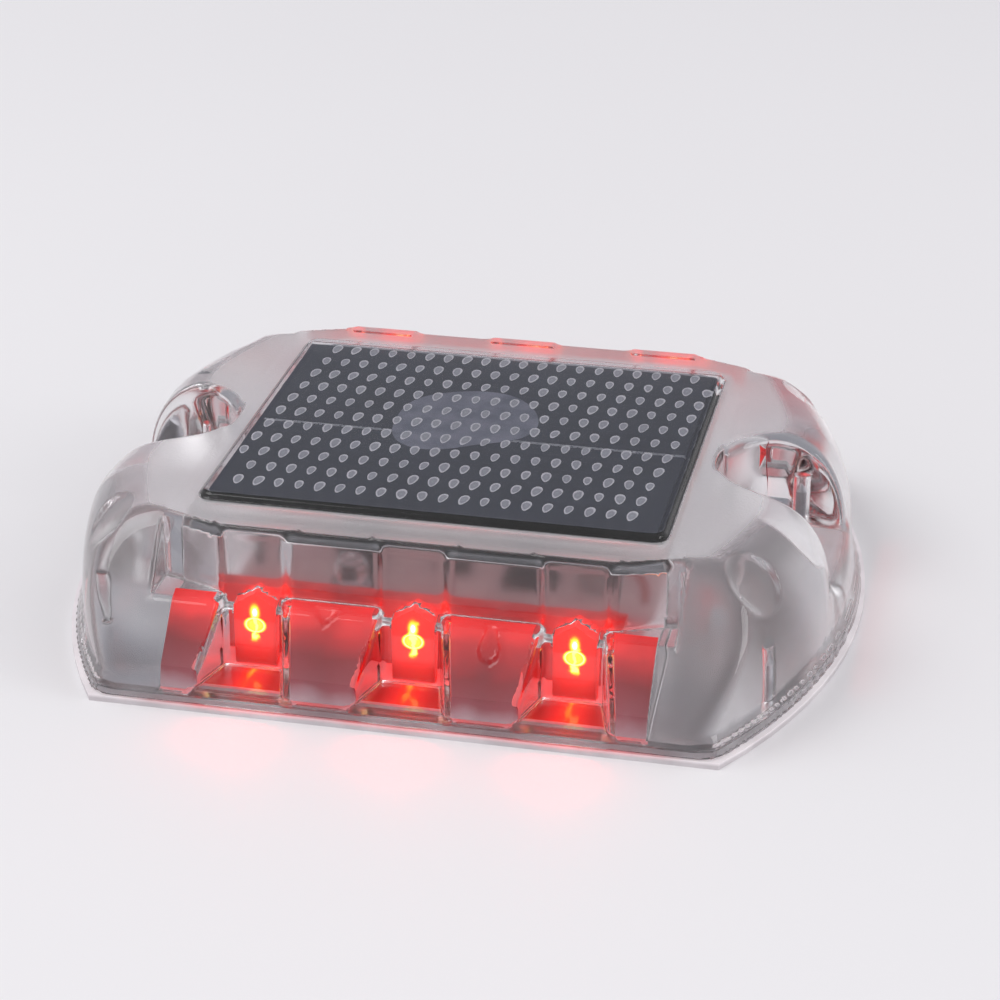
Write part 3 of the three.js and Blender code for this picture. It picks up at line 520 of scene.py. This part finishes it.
def clear_plastic():
    """Clear polycarbonate: polished outside, satin inside, a grainy frosted deck, faint flow marks."""
    made = Material("clear_housing")
    made.set(Transmission_Weight=1.0, IOR=1.5)
    place = made.node("ShaderNodeSeparateXYZ")
    made.link(made.position(), place.inputs[0])
    height = place.outputs["Z"]
    normal = made.node("ShaderNodeSeparateXYZ")
    made.link(made.node("ShaderNodeNewGeometry").outputs["Normal"], normal.inputs[0])
    level = made.spread(normal.outputs["Z"], 0.9, 0.99, 0.0, 1.0)
    above = made.spread(height, (DECK - 0.6) * MM, (DECK - 0.2) * MM, 0.0, 1.0)
    below = made.spread(height, (DECK + 0.3) * MM, (DECK + 0.6) * MM, 1.0, 0.0)
    deck = made.math("MULTIPLY", made.math("MULTIPLY", above, below), level)
    grain = made.noise(2600, 3)
    flow = made.noise(60, 2)
    polish = made.spread(flow, 0.3, 0.7, 0.01, 0.07)
    inside = made.node("ShaderNodeAttribute", attribute_name=INNER).outputs["Fac"]
    satin = made.math("MULTIPLY", inside, SATIN)
    frost = made.math("ADD", made.math("MULTIPLY", deck, 0.42), satin)
    made.link(made.math("ADD", polish, frost), made.shader.inputs["Roughness"])
    clear = made.math("SUBTRACT", 1.0, made.math("MULTIPLY", deck, DECK_FROST))
    made.link(clear, made.shader.inputs["Transmission Weight"])
    tint = made.ramp(flow, [(0.3, (0.90, 0.885, 0.90)), (0.7, (0.955, 0.945, 0.955))])
    made.link(tint, made.shader.inputs["Base Color"])
    deck_bump = made.math("MULTIPLY", grain, deck)
    wave = made.math("MULTIPLY", made.noise(110, 2), 0.9)
    made.bump(made.math("ADD", deck_bump, wave), 0.00016, 0.5)
    return made


def lamp_axes(made):
    """Distances from the nearest lamp: across its row, beyond its tip and above its axis, in mm."""
    place = made.node("ShaderNodeSeparateXYZ")
    made.link(made.position(), place.inputs[0])
    nearest = made.math("ROUND", made.math("MULTIPLY", place.outputs["X"], 1 / (LAMP_X * MM)))
    nearest = made.math("MINIMUM", made.math("MAXIMUM", nearest, -1.0), 1.0)
    offset = made.math("SUBTRACT", place.outputs["X"], made.math("MULTIPLY", nearest, LAMP_X * MM))
    across = made.math("MULTIPLY", offset, 1 / MM)
    beyond = made.math("SUBTRACT", made.math("ABSOLUTE", place.outputs["Y"]), LAMP_TIP * MM)
    up = made.math("SUBTRACT", place.outputs["Z"], LAMP_Z * MM)
    return across, made.math("MULTIPLY", beyond, 1 / MM), made.math("MULTIPLY", up, 1 / MM)


def length_of(made, *parts):
    squares = [made.math("MULTIPLY", part, part) for part in parts]
    total = squares[0]
    for square in squares[1:]:
        total = made.math("ADD", total, square)
    return made.math("SQRT", total)


def glow(name, color, dark, strength, falloff, ambient, roughness=0.5):
    """Painted light on a piece inside the stud: a soft emission all over, and red emission where it is close
    to a lamp.
    """
    made = moulded(name, color, dark, roughness)
    away = length_of(made, *lamp_axes(made))
    near = made.spread(away, 2.0, falloff, 1.0, 0.0)
    fade = made.math("MULTIPLY", near, near)
    patchy = made.math("MULTIPLY", fade, made.spread(made.noise(260, 3), 0.3, 0.7, 0.55, 1.3))
    place = made.node("ShaderNodeSeparateXYZ")
    made.link(made.position(), place.inputs[0])
    inside = made.spread(place.outputs["Z"], UNLIT_FOOT * MM, 2 * UNLIT_FOOT * MM, 0.0, 1.0)
    tone = made.ramp(
        patchy,
        [(0.0, color), (0.05, (0.50, 0.15, 0.16)), (0.16, (0.60, 0.025, 0.03)), (0.5, RED_LIGHT)],
    )
    made.link(tone, made.shader.inputs["Emission Color"])
    power = made.spread(patchy, 0.0, 1.0, ambient, strength)
    made.link(made.math("MULTIPLY", power, inside), made.shader.inputs["Emission Strength"])
    return made


def panel_back():
    """The panel board: dark at its edges, and a pinkish underside with the lamps' light painted on, in its
    colour and as emission.
    """
    made = Material("panel_backing")
    made.set(Roughness=0.5)
    place = made.node("ShaderNodeSeparateXYZ")
    made.link(made.position(), place.inputs[0])
    # painted light: the pinkish colour and the emission of the underside stand in for the lamps' light
    under = made.spread(place.outputs["Z"], (panel_low[2] + 0.05) * MM, (panel_low[2] + 0.2) * MM, 1.0, 0.0)
    cloud = made.math("MULTIPLY", under, made.spread(made.noise(90, 3), 0.3, 0.7, 0.6, 1.0))
    tone = made.ramp(cloud, [(0.0, (0.018, 0.022, 0.045)), (1.0, (0.46, 0.32, 0.34))])
    made.link(tone, made.shader.inputs["Base Color"])
    made.link(tone, made.shader.inputs["Emission Color"])
    made.link(made.math("MULTIPLY", under, 0.5), made.shader.inputs["Emission Strength"])
    return made


def lens_light():
    """A lit lamp: white-yellow core, a dark gap, a yellow ring, and red beyond."""
    made = Material("red_lens")
    made.set(Roughness=0.15, Coat_Weight=0.5)
    across, _, up = lamp_axes(made)
    away = made.math("MULTIPLY", length_of(made, across, up), 1 / 3.0)
    rings = made.ramp(
        away,
        [
            (0.0, (1.0, 0.97, 0.70)),
            (0.16, (1.0, 0.80, 0.08)),
            (0.30, (1.0, 0.22, 0.0)),
            (0.42, (1.0, 0.78, 0.05)),
            (0.56, (1.0, 0.14, 0.01)),
            (0.80, (0.95, 0.02, 0.01)),
        ],
    )
    made.link(rings, made.shader.inputs["Emission Color"])
    made.link(rings, made.shader.inputs["Base Color"])
    power = made.spread(away, 0.0, 0.6, 4.0, 1.3)
    made.link(power, made.shader.inputs["Emission Strength"])
    return made


def lamp_face():
    """Painted light on each lamp's sleeve, as emission, for a lamp seen through its tower: a yellow ring, a
    white-hot spot over it, a streak and red all round.
    """
    made = Material("lamp_face")
    made.set(Roughness=0.4)
    across, _, up = lamp_axes(made)

    def oval(centre, half_width, half_height):
        high = made.math("MULTIPLY", made.math("SUBTRACT", up, centre), 1 / half_height)
        return length_of(made, made.math("MULTIPLY", across, 1 / half_width), high)

    ring = made.math("ABSOLUTE", made.math("SUBTRACT", oval(RING_UP, RING_HALF, RING_HALF * 0.78), 1.0))
    ring = made.spread(ring, 0.0, 0.42, 0.95, 0.0)
    disc = made.spread(oval(RING_UP, RING_HALF, RING_HALF * 0.78), 0.7, 1.1, 0.70, 0.0)
    spot = made.spread(oval(SPOT_UP, 0.85, 1.5), 0.3, 1.3, 1.0, 0.0)
    wander = made.spread(made.noise(700, 3), 0.3, 0.7, -0.45, 0.45)
    streak = made.math("ABSOLUTE", made.math("ADD", across, wander))
    streak = made.spread(streak, 0.25, 0.95, 0.85, 0.0)
    streak = made.math("MULTIPLY", streak, made.spread(up, -3.2, -2.2, 0.0, 1.0))
    streak = made.math("MULTIPLY", streak, made.spread(up, 2.6, 3.6, 1.0, 0.0))
    heat = made.math("MAXIMUM", made.math("MAXIMUM", ring, disc), made.math("MAXIMUM", spot, streak))
    tone = made.ramp(
        heat,
        [
            (0.0, (0.95, 0.018, 0.012)),
            (0.25, (1.0, 0.06, 0.01)),
            (0.50, (1.0, 0.36, 0.01)),
            (0.72, (1.0, 0.66, 0.03)),
            (0.88, (1.0, 0.86, 0.25)),
            (1.0, (1.0, 0.98, 0.78)),
        ],
    )
    made.link(tone, made.shader.inputs["Emission Color"])
    made.link(tone, made.shader.inputs["Base Color"])
    edge = made.spread(made.math("ABSOLUTE", across), 1.6, POCKET_HALF, 1.0, 0.55)
    low = made.spread(up, -6.0, -3.0, 0.30, 1.0)
    power = made.math("MULTIPLY", made.math("MULTIPLY", edge, low), made.spread(heat, 0.2, 1.0, 0.95, 1.8))
    made.link(power, made.shader.inputs["Emission Strength"])
    return made


def bay_light():
    """Painted light behind the sloped faces, as emission for the lamps' light: bright red at the top, dark
    red lower down, greyer at the foot.
    """
    made = Material("bay_light")
    made.set(Roughness=0.45)
    place = made.node("ShaderNodeSeparateXYZ")
    made.link(made.position(), place.inputs[0])
    wander = made.spread(made.noise(120, 3), 0.3, 0.7, -1.0, 1.0)
    height = made.math("ADD", made.math("MULTIPLY", place.outputs["Z"], 1 / MM), wander)
    level = made.spread(height, BAY_LOW, BAY_HIGH, 0.0, 1.0)
    tone = made.ramp(
        level,
        [
            (0.0, (0.26, 0.17, 0.19)),
            (0.22, (0.17, 0.035, 0.045)),
            (0.50, (0.15, 0.010, 0.014)),
            (0.75, (0.34, 0.012, 0.014)),
            (0.95, (0.62, 0.020, 0.020)),
        ],
    )
    made.link(tone, made.shader.inputs["Base Color"])
    made.link(tone, made.shader.inputs["Emission Color"])
    across = lamp_axes(made)[0]
    near = made.spread(made.math("ABSOLUTE", across), 5.0, 12.0, 1.15, 0.75)
    made.link(near, made.shader.inputs["Emission Strength"])
    return made


def beam_light(name, reach, width, strength):
    """Painted light thrown on a surface by a lamp, as emission: a bright yellow streak in a red field."""
    made = Material(name)
    made.set(Roughness=0.4)
    across, beyond, up = lamp_axes(made)
    sideways = made.math("ABSOLUTE", across)
    wander = made.spread(made.noise(420, 3), 0.3, 0.7, -0.35, 0.35)
    streak = made.spread(made.math("ADD", sideways, wander), 0.0, width, 1.0, 0.0)
    away = length_of(made, beyond, up)
    close = made.spread(away, 0.0, reach, 1.0, 0.0)
    heat = made.math("MULTIPLY", streak, close)
    tone = made.ramp(
        heat,
        [
            (0.0, (0.80, 0.012, 0.010)),
            (0.30, (1.0, 0.03, 0.01)),
            (0.50, (1.0, 0.16, 0.01)),
            (0.75, (1.0, 0.55, 0.03)),
            (1.0, (1.0, 0.90, 0.35)),
        ],
    )
    made.link(tone, made.shader.inputs["Emission Color"])
    made.link(tone, made.shader.inputs["Base Color"])
    level = made.spread(sideways, 1.4, 3.6, strength, strength * 0.35)
    fade = made.spread(away, 0.0, 2 * reach, 1.0, 0.35)
    power = made.math("MULTIPLY", made.math("MULTIPLY", level, fade), made.spread(heat, 0.3, 1.0, 1.0, 3.0))
    made.link(power, made.shader.inputs["Emission Strength"])
    return made


def cell_face():
    """Dark slate cells behind a laminate, with faint fingers and cloudy tone."""
    made = Material("silicon")
    made.set(Roughness=0.45)
    place = made.node("ShaderNodeSeparateXYZ")
    made.link(made.position(), place.inputs[0])
    cloud = made.noise(90, 4)
    base = made.ramp(cloud, [(0.3, (0.016, 0.020, 0.034)), (0.7, (0.028, 0.034, 0.054))])
    count = made.math("MULTIPLY", place.outputs["Y"], math.pi / (2.5 * MM))
    finger = made.math("ABSOLUTE", made.math("SINE", count))
    line = made.spread(finger, 0.0, 0.10, 0.25, 0.0)
    mix = made.node("ShaderNodeMix", data_type="RGBA")
    made.link(line, mix.inputs["Factor"])
    made.link(base, mix.inputs[6])
    mix.inputs[7].default_value = (0.12, 0.13, 0.17, 1)
    made.link(mix.outputs[2], made.shader.inputs["Base Color"])
    made.bump(made.noise(700, 3), 0.00002, 0.3)
    return made


def pale_dot():
    """The moulded lens dots: bright rims, a painted highlight, around slightly greyer middles."""
    made = Material("pale_dot")
    made.set(Roughness=0.35)
    tone = made.noise(900, 3)
    rim = made.node("ShaderNodeAttribute", attribute_name=RIM_MARK).outputs["Fac"]
    # the bright rims are a painted highlight over the dots' own grey
    level = made.math("ADD", rim, made.spread(tone, 0.3, 0.7, -0.12, 0.12))
    made.link(
        made.ramp(
            level,
            [(0.0, (0.50, 0.52, 0.58)), (0.62, (0.42, 0.44, 0.50)), (0.85, (0.93, 0.94, 0.98))],
        ),
        made.shader.inputs["Base Color"],
    )
    made.bump(tone, 0.00003, 0.4)
    return made


def clear_lens():
    """Water-clear epoxy over the light sensor."""
    made = Material("clear_lens")
    made.set(Transmission_Weight=1.0, IOR=1.5)
    flow = made.noise(300, 2)
    made.link(made.spread(flow, 0.3, 0.7, 0.02, 0.08), made.shader.inputs["Roughness"])
    made.link(
        made.ramp(flow, [(0.3, (0.86, 0.86, 0.88)), (0.7, (0.95, 0.95, 0.96))]),
        made.shader.inputs["Base Color"],
    )
    return made


MATERIALS = {
    "clear_housing": clear_plastic(),
    "silicon": cell_face(),
    "pale_dot": pale_dot(),
    "red_lens": lens_light(),
    "lamp_face": lamp_face(),
    "bay_light": bay_light(),
    "floor_beam": beam_light("floor_beam", 17.0, 1.5, 1.1),
    # these three get painted light: soft emission all over and red emission near the lamps
    "smoked_base": glow("smoked_base", (0.66, 0.62, 0.64), (0.54, 0.50, 0.52), 1.3, 24.0, 0.42, 0.4),
    "panel_backing": panel_back(),
    "laminate": glow("laminate", (0.42, 0.28, 0.29), (0.26, 0.14, 0.15), 0.6, 22.0, 0.32, 0.45),
    "red_plastic": glow("red_plastic", (0.55, 0.05, 0.05), (0.34, 0.02, 0.02), 0.6, 20.0, 0.16, 0.4),
    "tinned_metal": metal("tinned_metal", (0.80, 0.81, 0.83), (0.62, 0.63, 0.66), 0.22, 1400),
    "steel": metal("steel", (0.66, 0.67, 0.70), (0.50, 0.51, 0.54), 0.26, 900),
    "black_plastic": moulded("black_plastic", (0.035, 0.033, 0.036), (0.018, 0.017, 0.02), 0.42),
    "grey_plastic": moulded("grey_plastic", (0.34, 0.35, 0.37), (0.26, 0.27, 0.29), 0.45),
    "battery_sleeve": moulded("battery_sleeve", (0.24, 0.20, 0.20), (0.17, 0.14, 0.14), 0.3, 500, 0.6),
    "rubber": moulded("rubber", (0.045, 0.045, 0.048), (0.025, 0.025, 0.027), 0.7, 1200),
    "clear_silicone": moulded("clear_silicone", (0.62, 0.60, 0.62), (0.50, 0.48, 0.50), 0.35, 900),
    "adhesive": moulded("adhesive", (0.27, 0.285, 0.36), (0.15, 0.165, 0.22), 0.45, 1500),
    "ferrite": moulded("ferrite", (0.07, 0.07, 0.075), (0.04, 0.04, 0.045), 0.7, 1500),
    "red_wire": moulded("red_wire", (0.45, 0.03, 0.03), (0.3, 0.02, 0.02), 0.4, 700),
    "black_wire": moulded("black_wire", (0.02, 0.02, 0.02), (0.01, 0.01, 0.01), 0.4, 700),
    "clear_lens": clear_lens(),
}


def dress(obj, slot):
    obj.data.materials.clear()
    obj.data.materials.append(MATERIALS[slot].data)


# ---------- pieces ----------
def add_piece(obj, slot, material, *nodes):
    dress(obj, material)
    if nodes:
        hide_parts(*nodes)
    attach(obj, BODY)
    return obj


def object_of(mesh, name):
    """The bmesh as an object of the scene. The bmesh itself is freed."""
    data = bpy.data.meshes.new(name)
    mesh.to_mesh(data)
    mesh.free()
    made = bpy.data.objects.new(name, data)
    bpy.context.scene.collection.objects.link(made)
    return made


def fine_housing():
    margin = 2 * VOXEL
    low = [-HALF_LENGTH - margin, -HALF_WIDTH - margin, FOOT - margin]
    high = [HALF_LENGTH + margin, HALF_WIDTH + margin, TOP + margin]
    shell = mesh_of_field("clear_shell", housing_field, low, high, VOXEL)
    points = np.array([vertex.co for vertex in shell.data.vertices]) / MM
    depth = -outer_field(*points.T)
    satin = ramp(0.3, 0.9, depth)
    satin *= 1 - ramp(WINDOW_UNDERSIDE - 0.8, WINDOW_UNDERSIDE - 0.3, points[:, 2])
    before_lamps = (np.abs(points[:, 1]) > LAMP_TIP - 1) & (points[:, 2] < POCKET_SHOULDER + POCKET_RISE)
    satin[before_lamps & (depth > 0.3) & (points[:, 2] > LAMP_Z - 2 * LAMP_RADIUS)] *= 0.3
    hidden = shell.data.attributes.new(INNER, "FLOAT", "POINT")
    hidden.data.foreach_set("value", satin.astype(np.float32))
    return add_piece(shell, "clear_housing", "clear_housing", "housing")


def dot_outline(steps=16):
    """A drop: round at the back and pointed towards the front."""
    points = []
    for step in range(steps):
        angle = 2 * math.pi * step / steps
        reach = 0.5 + 0.5 * math.sin(angle)
        width = math.cos(angle) * (0.55 + 0.45 * reach)
        points.append((width * DOT_WIDTH / 2, math.sin(angle) * DOT_LENGTH / 2))
    return points


def panel_dots():
    rng = np.random.default_rng(DOT_SEED)
    top = mm(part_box("solar_cell_front")[1])[2]
    mesh = bmesh.new()
    rim = mesh.verts.layers.float.new(RIM_MARK)
    for row in range(DOT_ROWS):
        for column in range(DOT_COLUMNS):
            lean = DOT_SKEW * (row - DOT_ROWS / 2)
            x = (column - (DOT_COLUMNS - 1) / 2) * DOT_PITCH_X + lean
            y = (row - (DOT_ROWS - 1) / 2) * DOT_PITCH_Y + DOT_OFFSET_Y
            if abs(x) > PANEL_HALF[0] - DOT_MARGIN:
                continue
            scale = rng.uniform(0.88, 1.08)
            turn = rng.uniform(-0.12, 0.12)
            ring = []
            for px, py in dot_outline():
                qx = (px * math.cos(turn) - py * math.sin(turn)) * scale
                qy = (px * math.sin(turn) + py * math.cos(turn)) * scale
                ring.append(mesh.verts.new(((x + qx) * MM, (y + qy) * MM, (top + DOT_LIFT) * MM)))
            crown = mesh.verts.new((x * MM, y * MM, (top + DOT_LIFT + DOT_DOME) * MM))
            for corner in ring:
                corner[rim] = 1.0
            for index, corner in enumerate(ring):
                mesh.faces.new((corner, ring[(index + 1) % len(ring)], crown))
            mesh.faces.new(list(reversed(ring)))
    return add_piece(object_of(mesh, "panel_dots"), "silicon", "pale_dot")


def flat_sheet(name, outline, low, high):
    """A thin closed sheet with the given outline, between two heights in millimetres."""
    mesh = bmesh.new()
    rings = [[mesh.verts.new((x * MM, y * MM, z * MM)) for x, y in outline] for z in (low, high)]
    count = len(outline)
    mesh.faces.new(list(reversed(rings[0])))
    mesh.faces.new(rings[1])
    for index in range(count):
        after = (index + 1) % count
        mesh.faces.new((rings[0][index], rings[0][after], rings[1][after], rings[1][index]))
    return object_of(mesh, name)


def adhesive_blob():
    """The glue that fixes the panel: an uneven round smear under the window."""
    low, high = map(mm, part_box("panel_adhesive"))
    centre = [(low[axis] + high[axis]) / 2 for axis in (0, 1)]
    outline = []
    for step in range(GLUE_STEPS):
        angle = 2 * math.pi * step / GLUE_STEPS
        wobble = sum(
            size * math.sin((order + 2) * angle + 1.7 * order) for order, size in enumerate(GLUE_WOBBLE)
        )
        reach = GLUE_SPREAD + wobble
        outline.append((centre[0] + reach * math.cos(angle), centre[1] + reach * math.sin(angle)))
    blob = flat_sheet("adhesive_blob", outline, low[2], high[2] - GLUE_GAP)
    return add_piece(blob, "adhesive", "adhesive", "panel_adhesive")


def prism_between(mesh, outline, first, second):
    """Adds a closed prism to the mesh: the outline's points at two places."""
    rings = [[mesh.verts.new(Vector(put(*point)) * MM) for point in outline] for put in (first, second)]
    count = len(outline)
    mesh.faces.new(rings[0])
    mesh.faces.new(list(reversed(rings[1])))
    for index in range(count):
        after = (index + 1) % count
        mesh.faces.new((rings[0][after], rings[0][index], rings[1][index], rings[1][after]))


def lamp_sleeves():
    """The gable-topped lining of each lamp's pocket, with the lamps' light painted on it as emission."""
    half = POCKET_HALF + SLEEVE_OVERLAP
    outline = [
        (-half, FOOT + PLATE_GAP),
        (half, FOOT + PLATE_GAP),
        (half, POCKET_SHOULDER),
        (0, POCKET_SHOULDER + POCKET_RISE + SLEEVE_OVERLAP),
        (-half, POCKET_SHOULDER),
    ]
    tip = LAMP_TIP + POCKET_GAP + SLEEVE_OVERLAP
    mesh = bmesh.new()
    for side in (-1, 1):
        for lamp in (-1, 0, 1):
            prism_between(
                mesh,
                outline,
                lambda x, z: (x + lamp * LAMP_X, side * tip, z),
                lambda x, z: (x + lamp * LAMP_X, side * (tip - SLEEVE_LENGTH), z),
            )
    bmesh.ops.recalc_face_normals(mesh, faces=mesh.faces)
    return add_piece(object_of(mesh, "lamp_sleeves"), "red_lens", "lamp_face")


def painted_bay_glow():
    """Thin sheets of painted red light behind the sloped faces, between the notches and beside them."""
    run = SLOPE_IN / (DECK - RIM)
    shift = BAY_DEPTH * math.hypot(1, run)
    high_y = HALF_WIDTH - (BAY_TOP - RIM) * run - shift
    low_y = HALF_WIDTH - BAY_DEPTH - BAY_MARGIN
    knee = RIM - (HALF_WIDTH - shift - low_y) / run
    flare = (NOTCH_MOUTH - TOWER_HALF) / FACE_FOOT_IN
    wall = WALL / 2 + BAY_MARGIN

    def notch_half(y):
        return TOWER_HALF + flare * max(0.0, y - (HALF_WIDTH - FACE_FOOT_IN)) + wall

    levels = [(high_y, BAY_TOP), (low_y, knee), (low_y, BAY_FOOT)]
    edges = [-CAVITY_HALF, -LAMP_X, 0.0, LAMP_X, CAVITY_HALF]
    mesh = bmesh.new()
    for side in (-1, 1):
        for left, right in zip(edges, edges[1:]):
            for (y0, z0), (y1, z1) in zip(levels, levels[1:]):
                corners = []
                for y, z in ((y0, z0), (y1, z1)):
                    low = left + (notch_half(y) if left > -CAVITY_HALF else BAY_MARGIN)
                    high = right - (notch_half(y) if right < CAVITY_HALF else BAY_MARGIN)
                    corners.append(((low, y, z), (high, y, z)))
                outline = [corners[0][0], corners[0][1], corners[1][1], corners[1][0]]
                prism_between(
                    mesh,
                    outline,
                    lambda x, y, z: (x, side * y, z),
                    lambda x, y, z: (x, side * (y - BAY_THICK), z),
                )
    bmesh.ops.recalc_face_normals(mesh, faces=mesh.faces)
    return add_piece(object_of(mesh, "painted_bay_glow"), "red_plastic", "bay_light")


def lamp_streaks():
    """A painted patch of lamp light, as emission on a thin sheet over the base plate's plug, under the floor
    of each notch.
    """
    plug_edge = HALF_WIDTH - STREAK_IN
    low, high = PLATE_PLUG + STREAK_LOW, PLATE_PLUG + STREAK_HIGH
    for side, row in ((-1, "front"), (1, "rear")):
        for lamp, place in ((-1, "left"), (0, "middle"), (1, "right")):
            inner = side * (HALF_WIDTH - FACE_FOOT_IN)
            outer = side * plug_edge
            outline = [
                (lamp * LAMP_X - STREAK_HALF, inner),
                (lamp * LAMP_X + STREAK_HALF, inner),
                (lamp * LAMP_X + STREAK_HALF * STREAK_FLARE, outer),
                (lamp * LAMP_X - STREAK_HALF * STREAK_FLARE, outer),
            ]
            sheet = flat_sheet("lamp_streak_" + row + "_" + place, outline, low, high)
            add_piece(sheet, "red_lens", "floor_beam")


def floor_and_light():
    bpy.ops.mesh.primitive_plane_add(size=FLOOR_SIZE)
    floor = bpy.context.object
    floor.name = "floor"
    made = Material("floor")
    made.set(Roughness=0.6)
    tone = made.noise(3, 2)
    made.link(
        made.ramp(tone, [(0.3, (0.83, 0.82, 0.83)), (0.7, (0.85, 0.84, 0.85))]),
        made.shader.inputs["Base Color"],
    )
    floor.data.materials.append(made.data)

    world = bpy.data.worlds.new("studio")
    bpy.context.scene.world = world
    world.use_nodes = True
    tree = world.node_tree
    direction = tree.nodes.new("ShaderNodeTexCoord").outputs["Generated"]
    toward = tree.nodes.new("ShaderNodeVectorMath")
    toward.operation = "DOT_PRODUCT"
    toward.inputs[1].default_value = FLAG_DIRECTION
    tree.links.new(direction, toward.inputs[0])
    sky = tree.nodes.new("ShaderNodeValToRGB")
    bright, dim = sky.color_ramp.elements
    bright.position, bright.color = FLAG_EDGE, SKY_COLOR
    dim.position, dim.color = FLAG_CORE, FLAG_COLOR
    tree.links.new(toward.outputs["Value"], sky.inputs["Fac"])
    tree.links.new(sky.outputs["Color"], tree.nodes["Background"].inputs["Color"])
    tree.nodes["Background"].inputs["Strength"].default_value = SKY_STRENGTH

    def softbox(name, place, aim, size, power, color=(1, 1, 1)):
        data = bpy.data.lights.new(name, "AREA")
        data.shape = "RECTANGLE"
        data.size, data.size_y = size
        data.energy = power
        data.color = color
        lamp = bpy.data.objects.new(name, data)
        lamp.location = place
        lamp.rotation_euler = (Vector(aim) - Vector(place)).to_track_quat("-Z", "Y").to_euler()
        bpy.context.scene.collection.objects.link(lamp)

    softbox("key_box", KEY_PLACE, (0, 0, 0), KEY_SIZE, KEY_POWER)
    softbox("side_box", SIDE_PLACE, SIDE_AIM, SIDE_SIZE, SIDE_POWER)

    # What the lamps throw on the ground along both long sides and at the right-hand end.
    for side in (-1, 1):
        for lamp in (-1, 0, 1):
            x = lamp * LAMP_X * MM
            y = side * (HALF_WIDTH + GLOW_OUT) * MM
            aim = (x, y + side * GLOW_REACH, 0)
            softbox("glow_box", (x, y, GLOW_UP), aim, GLOW_SIZE, GLOW_POWER, RED_LIGHT)
    x = (HALF_LENGTH + EDGE_OUT) * MM
    softbox("edge_glow", (x, 0, EDGE_UP), (x + EDGE_REACH, 0, 0), EDGE_SIZE, EDGE_POWER, RED_LIGHT)


def camera():
    data = bpy.data.cameras.new("camera")
    data.lens = CAMERA_LENS
    data.sensor_width = CAMERA_SENSOR
    azimuth, elevation = math.radians(CAMERA_AZIMUTH), math.radians(CAMERA_ELEVATION)
    back = Vector(
        (
            math.sin(azimuth) * math.cos(elevation),
            -math.cos(azimuth) * math.cos(elevation),
            math.sin(elevation),
        )
    )
    made = bpy.data.objects.new("camera", data)
    made.location = CAMERA_TARGET + back * CAMERA_DISTANCE
    made.rotation_euler = back.to_track_quat("Z", "Y").to_euler()
    bpy.context.scene.collection.objects.link(made)
    bpy.context.scene.camera = made


camera()
floor_and_light()
slots = {part["node"]: part["material_slot"] for part in frame["record"]["subparts"]}
for node, obj in frame["nodes"].items():
    dress(obj, slots[node])
fine_housing()
panel_dots()
adhesive_blob()
lamp_sleeves()
painted_bay_glow()
lamp_streaks()
bpy.context.scene.view_settings.view_transform = "Standard"
